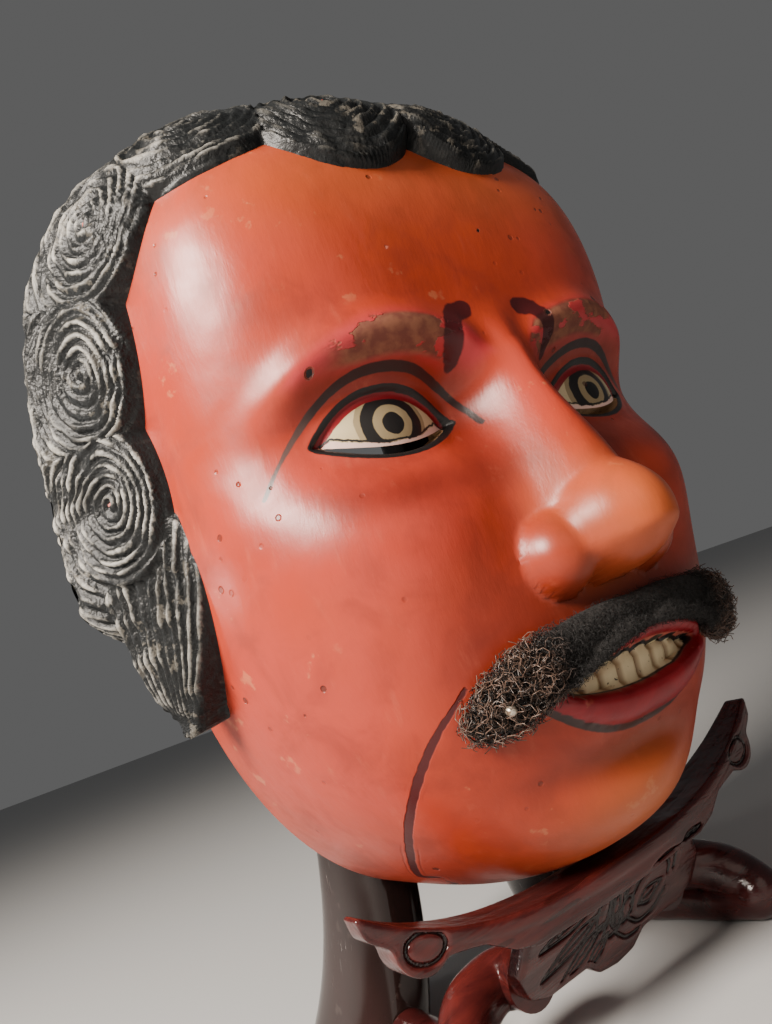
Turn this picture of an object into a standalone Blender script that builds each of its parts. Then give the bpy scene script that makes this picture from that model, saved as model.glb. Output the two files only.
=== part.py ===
"""A carved and painted wooden dance mask on its rosewood stand.

The mask is one carved shell: face, ringed curls, open hollow back and two sight slits.
A strip of real hair is its moustache.  The stand is a carved front cradle, two bowed
legs and a polished back hoop on two deep flared feet.

Shapes are drawn in steps, on a face whose three thirds are 56 steps each, and FACE_THIRD
gives the real length of a third.  X runs to the viewer's right, Y to the back, Z up.
The origin is on the table, under the middle of the whole.
"""
import math

import bmesh
import bpy
import numpy as np

# driving dimensions
FACE_THIRD = 0.0525         # chin to nose base, nose base to brow, brow to hairline, in metres
THIRD = 56.0                # the same third in drawing steps
STEP = FACE_THIRD / THIRD   # metres in one step

# the carved shell, in steps; its own origin is the flat back plane, at the chin's level
SHELL_TOP, SHELL_LOW, SHELL_MIDDLE = 187.0, -7.2, 100.0
SHELL_HALF_WIDTH, SHELL_DEPTH, WALL = 74.0, 78.0, 6.2
SIDE_POWER, CROWN_POWER, JAW_POWER = 2.6, 4.6, 3.6      # roundness of the sections
OUTLINE_UP, OUTLINE_LOW, JAW_TAPER, BACK_TUCK = 4.2, 2.45, 0.24, 0.06
GRID_ACROSS, GRID_UP = 54, 58
HOLLOW_ACROSS, HOLLOW_UP = 18, 20

# the face: eyes one eye apart, mouth a third of the way down from nose to chin
EYE_X, EYE_Z, EYE_HALF = 31.5, 99.0, 16.5
EYE_RISE, EYE_DROP, EYE_BALL, EYE_BALL_BACK = 9.2, 6.2, 21.0, 51.0
LID = 1.2                   # thickness of the lids at the edge of the eye opening
MOUTH_Z, MOUTH_HALF, LIP_RISE, LIP_DROP = 36.0, 26.0, 9.5, 11.0
NOSE_BASE, BROW_LEVEL = THIRD, 2 * THIRD
SLIT_HALF, SLIT_HEIGHT = 14.0, 2.8

# curls on each side, by their bearing round the shell in degrees, then the straight lock
CURL_BEARINGS = (78.0, 60.5, 45.5, 27.5, 6.5)
CURL_FORWARD = (1.05, 0.98, 0.68, 0.54, 0.54)           # how far each reaches towards the face, in radii
CURL_SHARE, CURL_SHARE_SIDE = 0.48, 0.32                # how far round the section they sit
CURL_RADIUS, CURL_RISE, HAIR_BED, HAIR_FLARE = 20.0, 9.5, 4.5, 10.0
LOCK_FROM, LOCK_TO = (-7.0, 0.79), (-31.0, 0.86)        # bearing and share of the lock's two ends
LOCK_RADIUS, LOCK_TAPER = 13.0, 0.72

# where the mask sits on the stand
CHIN_LEVEL, RIM_PLACE = 43.0, 52.6
GAP = 0.35                  # clearance between pieces that touch

# the stand
CREST_THICK, CREST_HALF = 14.0, 65.0
CREST_TAPER = 0.55                                      # share of the thickness lost at the tips
CREST_DIP, CREST_TIP, CREST_CURVE = 37.0, 54.0, 2.8
PLATE_HALF, PLATE_THICK, PLATE_LEAN = 32.0, 6.5, 0.5      # the plate leans back as it goes down
LEG_RADIUS, LEG_START, LEG_REST = 6.6, 19.5, 6.36
HOOP_HALF, HOOP_BEND, HOOP_POINTS = 10.5, 3.2, 12         # half the bar's width, and its section
HOOP_REACH, HOOP_SWELL, HOOP_FLARE, HOOP_FALL = 25.0, 10.0, 17.5, 34.0
HOOP_SHOULDER, HOOP_TOP = 165.0, 219.0                    # where the arch starts, and its middle
HOOP_DEEP, HOOP_FOOT, HOOP_FOOT_FALL = 18.0, 34.0, 65.0
HOOP_CLEAR = 0.9                                           # between the flat back and the hoop

# the hair strip
STRIP_HALF, STRIP_LEVEL, STRIP_STATIONS, STRIP_POINTS = 40.0, 46.5, 22, 5


def ease(low, high, value):
    """0 below low, 1 above high, smooth between."""
    share = np.clip((value - low) / (high - low), 0, 1)
    return share * share * (3 - 2 * share)


def bump(x, z, at_x, at_z, wide, high, turn=0.0):
    """A round swelling of height 1."""
    across = ((x - at_x) * math.cos(turn) + (z - at_z) * math.sin(turn)) / wide
    along = ((z - at_z) * math.cos(turn) - (x - at_x) * math.sin(turn)) / high
    return np.exp(-(across ** 2 + along ** 2) / 2)


def ball(x, z, at_x, at_z, wide, high):
    """The front of an ellipsoid of height 1, and 0 beside it."""
    return np.sqrt(np.clip(1 - ((x - at_x) / wide) ** 2 - ((z - at_z) / high) ** 2, 0, None))


def merge(first, second, soft):
    """The larger of two heights, with a fillet."""
    share = np.clip(0.5 + 0.5 * (first - second) / soft, 0, 1)
    return second + (first - second) * share + soft * share * (1 - share)


def shell_reach(bearing, inset):
    """How far the shell reaches from its middle, seen from the front."""
    low = np.sin(bearing) < 0
    rise = np.where(low, SHELL_MIDDLE - SHELL_LOW, SHELL_TOP - SHELL_MIDDLE) - inset
    power = np.where(low, OUTLINE_LOW, OUTLINE_UP)
    across = np.abs(np.cos(bearing) / (SHELL_HALF_WIDTH - inset))
    return (across ** power + np.abs(np.sin(bearing) / rise) ** power) ** (-1 / power)


def section_power(bearing):
    """Roundness of the section at a bearing."""
    up = np.clip(np.sin(bearing), 0, 1) ** 2
    down = np.clip(-np.sin(bearing), 0, 1) ** 2.5
    return SIDE_POWER + (CROWN_POWER - SIDE_POWER) * up + (JAW_POWER - SIDE_POWER) * down


def narrowing(z, front):
    """The jaw narrows downwards at the front, and the sides tuck in to the flat back."""
    drop = np.clip((SHELL_MIDDLE - z) / SHELL_MIDDLE, 0, 1)
    return 1 - JAW_TAPER * front * drop ** 1.5 - BACK_TUCK * (1 - front) ** 2


def shell_point(share, bearing, inset=0.0):
    """A point of the plain shell: share 0 is the front pole, share 1 the flat back."""
    power = section_power(bearing)
    out, front = np.sin(share * math.pi / 2), np.cos(share * math.pi / 2)
    size = (np.abs(out) ** power + np.abs(front) ** power) ** (-1 / power)
    out, front = out * size, np.where(share > 0.9999, 0.0, front * size)
    reach = out * shell_reach(bearing, inset)
    z = SHELL_MIDDLE + reach * np.sin(bearing)
    x = reach * np.cos(bearing) * narrowing(z, front)
    return x, -(SHELL_DEPTH - inset) * front, z


def shell_front(x, z):
    """How far the plain shell stands in front of the flat back at a place on the face."""
    front = np.ones_like(x)
    for _ in range(8):
        wide = x / narrowing(z, front)
        bearing = np.arctan2(z - SHELL_MIDDLE, wide)
        power = section_power(bearing)
        out = np.clip(np.hypot(wide, z - SHELL_MIDDLE) / shell_reach(bearing, 0.0), 0, 1)
        front = (1 - out ** power) ** (1 / power)
    return SHELL_DEPTH * front


def eye_opening(x, z):
    """About how far a place lies outside the almond opening of its eye."""
    side = np.abs(x) - EYE_X
    slant = EYE_Z + 0.05 * side
    share = np.clip(np.abs(side) / EYE_HALF, 0, 1)
    over = z - slant - EYE_RISE * (1 - share ** 2.3)
    under = slant - EYE_DROP * (1 - share ** 2.0) - z
    beside = np.hypot(np.clip(np.abs(side) - EYE_HALF, 0, None), z - slant)
    steep = np.sqrt(1 + (1.2 * share) ** 2)
    return np.where(np.abs(side) > EYE_HALF, beside, np.maximum(over, under) / steep)


def nose_rise(x, z):
    """Bridge, tip and wings of a plain straight nose."""
    side = np.abs(x)
    along = np.clip((z - NOSE_BASE - 6) / (BROW_LEVEL - NOSE_BASE - 6), 0, 1)
    ridge = (21 * (1 - along) + 6.5 * along) * ease(BROW_LEVEL + 14, BROW_LEVEL - 4, z)
    bridge = ridge * np.exp(-(side / (14 - 5 * along)) ** 2.4) * ease(NOSE_BASE - 1.5, NOSE_BASE + 6, z)
    wings = 12.5 * ball(side, z, 12.5, NOSE_BASE + 6.5, 8.2, 9) ** 0.8
    tip = 24 * ball(x, z, 0, NOSE_BASE + 10, 13, 12) ** 0.7
    return np.clip(merge(merge(bridge, wings, 6), tip, 7), 0, None)


def mouth_rise(x, z):
    """Calm lips, a little apart over the teeth."""
    side = np.abs(x)
    out, gap = np.clip(side / MOUTH_HALF, 0, 1), np.clip(side / (MOUTH_HALF - 5), 0, 1)
    top = MOUTH_Z + 0.5 + LIP_RISE * (1 - out ** 2) - 1.8 * np.exp(-(x / 4) ** 2)
    low = MOUTH_Z + 0.5 - LIP_DROP * (1 - out ** 2.4)
    gap_top, gap_low = MOUTH_Z + 3 * (1 - gap ** 2.4), MOUTH_Z - 3.2 * (1 - gap ** 2.2)
    span = 1 - ease(MOUTH_HALF - 6, MOUTH_HALF, side)
    upper = np.clip(1 - ((2 * z - top - gap_top) / np.maximum(top - gap_top, 0.8)) ** 2, 0, 1)
    lower = np.clip(1 - ((2 * z - low - gap_low) / np.maximum(gap_low - low, 0.8)) ** 2, 0, 1)
    between = np.clip(np.minimum(gap_top - z, z - gap_low) / 1.2, 0, 1)
    return (2.6 * upper ** 0.4 + 3.2 * lower ** 0.4) * span - 2.5 * between * span


def face_rise(x, z):
    """Carving of the face, in front of the plain shell."""
    side = np.abs(x)
    brow = BROW_LEVEL + 7 * (1 - ((side - 31) / 25) ** 2)
    brow_span = ease(3, 12, side) * (1 - ease(48, 62, side))
    rise = 1.5 * bump(side, z, 44, 50, 14, 15) + 5 * bump(side, z, 45, 77, 15, 11, 0.35)
    rise += 4.2 * np.exp(-((z - brow + 1.5) / 5.5) ** 2) * brow_span
    rise -= 9 * bump(side, z, EYE_X - 1, EYE_Z + 2, 17, 9.5)
    rise -= 4.5 * bump(side, z, 15, EYE_Z + 2, 5.5, 9)
    rise += 5 * bump(x, z, 0, MOUTH_Z, 24, 16) - 4.2 * bump(x, z, 0, 20.5, 15, 3.6)
    rise += 6.5 * bump(x, z, 0, 8, 14, 9.5)
    return rise + mouth_rise(x, z) + nose_rise(x, z)


def face_front(x, z, plain):
    """The finished face in front of the flat back, eyes and lids included."""
    whole = plain + face_rise(x, z) * ease(0, 25, plain)
    side = np.abs(x) - EYE_X
    away = np.hypot(side, z - EYE_Z)
    eyeball = EYE_BALL_BACK + np.sqrt(np.clip(EYE_BALL ** 2 - away ** 2, 0, None)) - 0.12 * side
    near = 1 - ease(EYE_HALF + 4, EYE_HALF + 9, away)
    lids = merge(whole, eyeball + LID, 3.5) * near + whole * (1 - near)
    open_eye = 1 - ease(-2.5, 1.5, eye_opening(x, z))
    return lids * (1 - open_eye) + eyeball * open_eye


def hair_line(bearing):
    """The share at which the row of curls runs: near the front at the top, far back at the sides."""
    return CURL_SHARE + CURL_SHARE_SIDE * np.abs(np.cos(bearing)) ** 1.3


def hair_place(bearing, share=None):
    """A place on the right-hand side of the shell, on the row of curls or at a share of its own."""
    angle = np.array(math.radians(bearing))
    return np.array(shell_point(hair_line(angle) if share is None else np.array(share), angle))


def hair_rise(points, share, bearing):
    """How far curls, locks and the plain hair behind them stand out of the shell."""
    edge = hair_line(bearing)
    flare = HAIR_FLARE * np.abs(np.cos(bearing)) ** 0.5 * np.clip((share - edge) / 0.14, -0.7, 1)
    folded = np.stack([np.abs(points[:, 0]), points[:, 1], points[:, 2]], 1)
    rise = np.zeros(len(points))
    for place, forward in zip(CURL_BEARINGS, CURL_FORWARD):
        centre = hair_place(place)
        ahead = hair_place(place + 1) - centre
        ahead /= np.linalg.norm(ahead)
        along = (folded - centre) @ ahead
        across = np.sqrt(np.clip(np.sum((folded - centre) ** 2, axis=1) - along ** 2, 0, None))
        away = np.hypot(along, across / np.where(share < edge, forward, 1)) / CURL_RADIUS
        rise = np.maximum(rise, (CURL_RISE + flare) * np.sqrt(np.clip(1 - away ** 3, 0, 1)))
    start, end = hair_place(*LOCK_FROM), hair_place(*LOCK_TO)
    along = np.clip((folded - start) @ (end - start) / np.sum((end - start) ** 2), 0, 1)
    away = np.linalg.norm(folded - start - along[:, None] * (end - start), axis=1)
    away /= LOCK_RADIUS * (1 - LOCK_TAPER * along ** 2.5)
    lock = (0.75 * CURL_RISE + flare) * (1 - 0.4 * along)
    rise = np.maximum(rise, lock * np.sqrt(np.clip(1 - away ** 3, 0, 1)))
    level = np.degrees(np.arcsin(np.sin(bearing)))
    back = ease(edge + 0.02, edge + 0.15, share)
    bed = HAIR_BED * (1 - back) + (0.85 * CURL_RISE + flare) * back
    bed = bed * ease(edge, edge + 0.06, share) * ease(LOCK_TO[0] + 6, LOCK_TO[0] + 24, level)
    return np.maximum(rise, bed)


def disc_grid(across, up, crowd):
    """Share and bearing over a square grid laid on the shell, finer in the middle."""
    u, v = np.linspace(-1, 1, across + 1), np.linspace(-1, 1, up + 1)
    u, v = np.meshgrid(u * (1 - crowd + crowd * u ** 2), v * (1 - crowd + crowd * v ** 2))
    across_disc, up_disc = u * np.sqrt(1 - v ** 2 / 2), v * np.sqrt(1 - u ** 2 / 2)
    share = np.clip(np.hypot(across_disc, up_disc), 0, 1)
    return share.ravel(), np.arctan2(up_disc, across_disc).ravel()


def sheet(mesh, across, up, points, flip):
    """Add a grid of quads to a bmesh and return the edges of its border."""
    verts = [mesh.verts.new(point) for point in points]
    row = across + 1
    faces = []
    for j in range(up):
        for i in range(across):
            corner = j * row + i
            ring = [verts[corner], verts[corner + 1], verts[corner + row + 1], verts[corner + row]]
            faces.append(mesh.faces.new(ring[::-1] if flip else ring))
    return [edge for face in faces for edge in face.edges if len(edge.link_faces) == 1]


def outer_points():
    """The carved outside of the mask."""
    share, bearing = disc_grid(GRID_ACROSS, GRID_UP, 0.15)
    nudge = 0.004
    x, y, z = shell_point(share, bearing)
    points = np.stack([x, y, z], 1)
    inner, further = np.clip(share - nudge, 0, 1), np.clip(share + nudge, 0, 1)
    along = np.stack(shell_point(further, bearing), 1) - np.stack(shell_point(inner, bearing), 1)
    round_it = np.stack(shell_point(share, bearing + nudge), 1) - points
    normal = np.cross(along, round_it)
    normal /= np.linalg.norm(normal, axis=1, keepdims=True) + 1e-9
    normal[np.abs(x) + np.abs(z - SHELL_MIDDLE) < 1e-6] = (0, -1, 0)
    hair = hair_rise(points, share, bearing)
    face = -face_front(x, z, -y)
    skin = 1 - ease(0.5, 2.5, hair)
    points[:, 1] = y + (face - y) * skin
    points += normal * hair[:, None]
    points[:, 1] = np.where(share > 0.9999, 0, np.minimum(points[:, 1], -GAP))
    return points


def inner_points():
    """The smooth hollow behind the face."""
    share, bearing = disc_grid(HOLLOW_ACROSS, HOLLOW_UP, 0.0)
    x, y, z = shell_point(share, bearing, WALL)
    side = np.abs(x)
    deeper = 8 * bump(x, z, 0, NOSE_BASE + 8, 9, 12) - 7 * bump(side, z, EYE_X, EYE_Z, 19, 13)
    y = y - (deeper - 2.0) * ease(0, 30, -y)
    return np.stack([x, y, z], 1)


def to_scene(points, lift=0.0, back=0.0):
    """Drawing steps to metres."""
    placed = np.asarray(points, dtype=float).copy()
    placed[:, 1] += back
    placed[:, 2] += lift
    return placed * STEP


def add_object(name, mesh_data, collection, material=None):
    thing = bpy.data.objects.new(name, mesh_data)
    collection.objects.link(thing)
    if material:
        thing.data.materials.clear()
        thing.data.materials.append(material)
    return thing


def finish_mesh(mesh, name, smooth_angle=40.0):
    """Turn a bmesh into mesh data with outward normals and smooth shading."""
    bmesh.ops.recalc_face_normals(mesh, faces=mesh.faces)
    data = bpy.data.meshes.new(name)
    mesh.to_mesh(data)
    mesh.free()
    data.shade_smooth()
    data.set_sharp_from_angle(angle=math.radians(smooth_angle))
    return data


def make_material(name, colour, roughness, metallic=0.0):
    material = bpy.data.materials.new(name)
    material.use_nodes = True
    shader = material.node_tree.nodes["Principled BSDF"]
    shader.inputs["Base Color"].default_value = (*colour, 1.0)
    shader.inputs["Roughness"].default_value = roughness
    shader.inputs["Metallic"].default_value = metallic
    return material


def make_collection(name):
    collection = bpy.data.collections.new(name)
    bpy.context.scene.collection.children.link(collection)
    return collection


def prism(name, outline, front, back):
    """An upright outline of x, z points made solid from front to back."""
    mesh = bmesh.new()
    ring = [mesh.verts.new((x, front, z)) for x, z in outline]
    face = mesh.faces.new(ring)
    pushed = bmesh.ops.extrude_face_region(mesh, geom=[face])["geom"]
    moved = [item for item in pushed if isinstance(item, bmesh.types.BMVert)]
    bmesh.ops.translate(mesh, verts=moved, vec=(0, back - front, 0))
    bmesh.ops.scale(mesh, vec=(STEP, STEP, STEP), verts=mesh.verts)
    return finish_mesh(mesh, name)


def bevel(thing, width, segments):
    modifier = thing.modifiers.new("rounded edges", "BEVEL")
    modifier.width = width * STEP
    modifier.segments = segments
    modifier.limit_method = "ANGLE"
    modifier.angle_limit = math.radians(35)


def boolean(thing, tool, operation):
    modifier = thing.modifiers.new(tool.name, "BOOLEAN")
    modifier.operation = operation
    modifier.object = tool
    tool.hide_render = True
    tool.display_type = "WIRE"


def build_mask(parts, tools, material):
    mesh = bmesh.new()
    rims = sheet(mesh, GRID_ACROSS, GRID_UP, to_scene(outer_points(), CHIN_LEVEL, RIM_PLACE), False)
    rims += sheet(mesh, HOLLOW_ACROSS, HOLLOW_UP, to_scene(inner_points(), CHIN_LEVEL, RIM_PLACE), True)
    bmesh.ops.bridge_loops(mesh, edges=rims)
    bmesh.ops.triangulate(mesh, faces=mesh.faces)
    mask = add_object("mask", finish_mesh(mesh, "mask"), parts, material)
    for side in (-1, 1):
        slit = add_object(f"sight_slit_{'left' if side < 0 else 'right'}", slit_tool(side), tools)
        boolean(mask, slit, "DIFFERENCE")
    return mask


def slit_tool(side):
    """A thin curved slot along the lower lid, right through the wall."""
    offsets = np.linspace(-SLIT_HALF, SLIT_HALF, 9)
    low = EYE_Z + 0.05 * offsets - EYE_DROP * (1 - (np.abs(offsets) / EYE_HALF) ** 2) + 0.4
    high = low + SLIT_HEIGHT * np.sqrt(np.clip(1 - (offsets / (SLIT_HALF + 0.6)) ** 2, 0, 1))
    outline = list(zip(EYE_X + offsets, low)) + list(zip(EYE_X + offsets, high))[::-1]
    outline = [(side * x, z + CHIN_LEVEL) for x, z in outline]
    return prism("sight slit", outline, RIM_PLACE - 80, RIM_PLACE - 30)


def build_moustache(parts, material):
    """A bushy strip laid along the upper lip, a little clear of the wood."""
    stations = STRIP_HALF * np.sin(np.linspace(-math.pi / 2, math.pi / 2, STRIP_STATIONS + 1))
    mesh = bmesh.new()
    rings = []
    for x in stations[1:-1]:
        share = abs(x) / STRIP_HALF
        middle = STRIP_LEVEL - 9.5 * share ** 2
        round_off = math.sqrt(1 - share ** 6)
        half, thick = (4.2 + 4.0 * share) * round_off, (5.0 + 4.0 * share) * round_off
        z = middle + half * np.linspace(-1, 1, STRIP_POINTS)
        across = np.full_like(z, x)
        back = -face_front(across, z, shell_front(across, z)) - 2.6
        front = back - thick * np.sqrt(1.12 - np.linspace(-1, 1, STRIP_POINTS) ** 2)
        section = [(x, y, level) for y, level in zip(back, z)]
        section += [(x, y, level) for y, level in zip(front, z)][::-1]
        rings.append([mesh.verts.new(p) for p in to_scene(section, CHIN_LEVEL, RIM_PLACE)])
    for ring, following in zip(rings, rings[1:]):
        for k in range(len(ring)):
            after = (k + 1) % len(ring)
            mesh.faces.new((ring[k], ring[after], following[after], following[k]))
    mesh.faces.new(rings[0])
    mesh.faces.new(rings[-1][::-1])
    bmesh.ops.triangulate(mesh, faces=mesh.faces)
    return add_object("moustache", finish_mesh(mesh, "moustache"), parts, material)


def crest_level(x):
    """The height of the crescent's top edge."""
    return CREST_DIP + (CREST_TIP - CREST_DIP) * (np.abs(x) / CREST_HALF) ** CREST_CURVE


def both_sides(half):
    """A full outline from its right half, given from the middle of the top round to the bottom."""
    return half + [(-x, z) for x, z in half[::-1] if x > 0]


def build_cradle(parts, tools, material):
    """The crescent that the chin rests in, and the carved plate that leans back below it."""
    crest = [(x, crest_level(x)) for x in np.linspace(0, CREST_HALF, 13)]
    lobe = [(53 + 6.5 * math.cos(a), 44 + 6.5 * math.sin(a)) for a in np.radians((10, -20, -50, -80, -105, -130))]
    outline = both_sides(crest + [(64, 49)] + lobe + [(44, 38), (40, 37), (34, 33), (28, 31), (0, 30)])
    data = prism("stand_cradle", outline, 0, CREST_THICK)
    for vertex in data.vertices:
        lost = CREST_TAPER * (abs(vertex.co.x) / (CREST_HALF * STEP)) ** 4
        vertex.co.y += (0.25 * CREST_THICK * STEP - vertex.co.y) * lost
    cradle = add_object("stand_cradle", data, parts, material)
    bevel(cradle, 1.2, 1)
    half = [(0, CREST_DIP - 4), (PLATE_HALF - 4, CREST_DIP - 4), (PLATE_HALF, 24), (PLATE_HALF - 3, 18),
            (23, 15.5), (10, 15.5), (6, 12), (0, 11)]
    data = prism("plate", both_sides(half), 1, 1 + PLATE_THICK)
    for vertex in data.vertices:
        vertex.co.y += PLATE_LEAN * (CREST_DIP * STEP - vertex.co.z)
    plate = add_object("leaning_plate", data, tools)
    bevel(plate, 1.2, 1)
    boolean(cradle, plate, "UNION")
    return cradle


def smooth_route(turns, readings=2):
    """Points read from a smooth curve through the given ones."""
    turns = [np.array(turn, dtype=float) for turn in turns]
    ends = [2 * turns[0] - turns[1]] + turns + [2 * turns[-1] - turns[-2]]
    route = []
    for before, start, end, after in zip(ends, ends[1:], ends[2:], ends[3:]):
        for t in np.arange(readings) / readings:
            bend = 2 * before - 5 * start + 4 * end - after
            twist = 3 * (start - end) + after - before
            route.append(tuple(start + 0.5 * (t * (end - before) + t * t * bend + t ** 3 * twist)))
    return route + [tuple(turns[-1])]


def build_leg(parts, side, material):
    """A round leg: out from behind the plate, down to the table and back to the upright."""
    turns = ((24, 22, LEG_START), (29, 24.5, LEG_START), (37, 23, 18), (43.5, 18, 15), (47, 12.5, 11),
             (47.5, 9, 7.4), (46.5, 13, LEG_REST), (44, 25, LEG_REST), (41, 38, LEG_REST), (40, 48, LEG_REST))
    curve = bpy.data.curves.new("leg", "CURVE")
    curve.dimensions = "3D"
    curve.bevel_depth = LEG_RADIUS * STEP
    curve.bevel_resolution = 2
    curve.use_fill_caps = True
    spline = curve.splines.new("POLY")
    back = 1 + PLATE_THICK + PLATE_LEAN * (CREST_DIP - LEG_START + LEG_RADIUS) - 3 * GAP
    points = [(24, back, LEG_START)] + smooth_route(turns) + [(40, RIM_PLACE + HOOP_CLEAR - GAP, LEG_REST)]
    spline.points.add(len(points) - 1)
    for point, (x, y, z) in zip(spline.points, points):
        point.co = (side * x * STEP, y * STEP, z * STEP, 1)
    return add_object(f"stand_leg_{'left' if side < 0 else 'right'}", curve, parts, material)


def hoop_stations():
    """Middle of the bar, its outward direction and its inset, from the right foot over the top to the left foot."""
    right = []
    for z, inset in ((0, 2.5), (2.5, 0), (12, 0), (24, 0), (38, 0), (56, 0), (80, 0), (110, 0), (140, 0)):
        swell = HOOP_SWELL * ease(60, 150, z)
        right.append((HOOP_REACH + swell + HOOP_FLARE * math.exp(-z / HOOP_FALL), z, 1.0, 0.0, inset))
    wide, high = HOOP_REACH + HOOP_SWELL, HOOP_TOP - HOOP_SHOULDER
    for angle in np.radians((0, 20, 40, 57, 74)):
        out = np.array((math.cos(angle) / wide, math.sin(angle) / high))
        out /= np.linalg.norm(out)
        right.append((wide * math.cos(angle), HOOP_SHOULDER + high * math.sin(angle), out[0], out[1], 0))
    return right + [(0.0, HOOP_TOP, 0.0, 1.0, 0)] + [(-x, z, -dx, dz, inset) for x, z, dx, dz, inset in right[::-1]]


def build_post(parts, material):
    """The hoop that the mask's flat back leans on, with deep flared feet."""
    mesh = bmesh.new()
    rings = []
    for x, z, out_x, out_z, inset in hoop_stations():
        half = HOOP_HALF - inset
        deep = HOOP_DEEP + HOOP_FOOT * math.exp(-z / HOOP_FOOT_FALL) - inset
        ring = []
        for angle in np.linspace(0, 2 * math.pi, HOOP_POINTS + 1)[:-1] + math.pi / HOOP_POINTS:
            across, along = math.cos(angle), math.sin(angle)
            size = (abs(across) ** HOOP_BEND + abs(along) ** HOOP_BEND) ** (-1 / HOOP_BEND)
            y = RIM_PLACE + HOOP_CLEAR + inset / 2 + deep / 2 * (1 + along * size)
            reach = half * across * size
            ring.append(mesh.verts.new(np.array((x + out_x * reach, y, z + out_z * reach)) * STEP))
        rings.append(ring)
    for ring, following in zip(rings, rings[1:]):
        for k in range(HOOP_POINTS):
            after = (k + 1) % HOOP_POINTS
            mesh.faces.new((ring[k], ring[after], following[after], following[k]))
    mesh.faces.new(rings[0][::-1])
    mesh.faces.new(rings[-1])
    bmesh.ops.triangulate(mesh, faces=mesh.faces)
    return add_object("stand_post", finish_mesh(mesh, "stand_post"), parts, material)


def main():
    for thing in list(bpy.data.objects):
        bpy.data.objects.remove(thing)
    parts, tools = make_collection("dance_mask"), make_collection("cutters")
    tools.hide_render = True
    wood = make_material("painted wood", (0.52, 0.13, 0.06), 0.4)
    hair = make_material("black hair", (0.02, 0.017, 0.015), 0.6)
    rosewood = make_material("carved rosewood", (0.10, 0.025, 0.018), 0.32)
    lacquer = make_material("dark lacquer", (0.03, 0.018, 0.015), 0.15)
    build_mask(parts, tools, wood)
    build_moustache(parts, hair)
    build_cradle(parts, tools, rosewood)
    for side in (-1, 1):
        build_leg(parts, side, rosewood)
    build_post(parts, lacquer)
    nose = RIM_PLACE + outer_points()[:, 1].min()
    heel = RIM_PLACE + HOOP_CLEAR + HOOP_DEEP + HOOP_FOOT
    for thing in list(parts.objects) + list(tools.objects):
        thing.location.y = -(nose + heel) / 2 * STEP


main()
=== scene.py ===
import math

import bmesh
import bpy
import numpy as np
from mathutils import Matrix, Vector


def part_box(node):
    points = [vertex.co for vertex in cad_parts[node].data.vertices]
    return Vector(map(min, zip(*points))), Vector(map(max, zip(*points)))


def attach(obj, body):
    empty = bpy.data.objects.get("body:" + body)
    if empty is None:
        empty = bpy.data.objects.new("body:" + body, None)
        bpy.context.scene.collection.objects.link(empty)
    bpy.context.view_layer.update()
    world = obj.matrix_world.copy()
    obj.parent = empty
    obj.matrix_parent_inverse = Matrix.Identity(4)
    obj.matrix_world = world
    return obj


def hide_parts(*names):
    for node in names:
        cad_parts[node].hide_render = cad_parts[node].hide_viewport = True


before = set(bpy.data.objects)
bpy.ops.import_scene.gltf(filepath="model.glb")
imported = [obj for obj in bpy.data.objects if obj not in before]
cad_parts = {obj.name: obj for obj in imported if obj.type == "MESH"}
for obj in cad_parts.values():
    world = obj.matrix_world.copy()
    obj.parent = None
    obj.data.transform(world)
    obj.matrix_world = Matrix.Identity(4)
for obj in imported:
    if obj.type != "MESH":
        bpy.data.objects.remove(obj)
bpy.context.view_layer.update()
print("frame loaded")

step = 0.0525 / 56                       # one drawing step in metres, 56 steps to a third of the face
maskLow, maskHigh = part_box("mask")
rimPlane = maskHigh.y / step             # the mask's flat back
chinLevel = maskLow.z / step + 7.2       # the tip of the chin
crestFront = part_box("stand_cradle")[0].y / step
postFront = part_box("stand_post")[0].y / step


def ease(low, high, value):
    share = np.clip((value - low) / (high - low), 0, 1)
    return share * share * (3 - 2 * share)


def bump(x, z, atX, atZ, wide, high, turn=0.0):
    across = ((x - atX) * math.cos(turn) + (z - atZ) * math.sin(turn)) / wide
    along = ((z - atZ) * math.cos(turn) - (x - atX) * math.sin(turn)) / high
    return np.exp(-(across ** 2 + along ** 2) / 2)


def ball(x, z, atX, atZ, wide, high):
    return np.sqrt(np.clip(1 - ((x - atX) / wide) ** 2 - ((z - atZ) / high) ** 2, 0, None))


def merge(first, second, soft):
    share = np.clip(0.5 + 0.5 * (first - second) / soft, 0, 1)
    return second + (first - second) * share + soft * share * (1 - share)


def bumps(side, z, spots):                   # rows of x, z, width, height, at times a turn, and the amount
    return sum(amount * bump(side, z, *spot) for *spot, amount in spots)


def unit(vector):
    return vector / np.linalg.norm(vector)


def valueNoise(points, size, seed):          # smooth lumps between -1 and 1
    table = np.random.default_rng(seed).uniform(-1, 1, 4096)
    base = np.floor(points / size).astype(np.int64)
    part = points / size - base
    part = part * part * (3 - 2 * part)
    total = 0
    for corner in np.ndindex(2, 2, 2):
        mixed = (base + corner) @ np.array((7919, 1543, 6133))
        total = total + np.prod(np.where(corner, part, 1 - part), axis=1) * table[mixed % 4096]
    return total


def smoothRoute(turns, readings):
    turns = [np.array(turn, dtype=float) for turn in turns]
    ends = [2 * turns[0] - turns[1]] + turns + [2 * turns[-1] - turns[-2]]
    route = []
    for before, start, end, after in zip(ends, ends[1:], ends[2:], ends[3:]):
        for t in np.arange(readings) / readings:
            bend = 2 * before - 5 * start + 4 * end - after
            twist = 3 * (start - end) + after - before
            route.append(start + 0.5 * (t * (end - before) + t * t * bend + t ** 3 * twist))
    return np.array(route + [turns[-1]])


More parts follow.
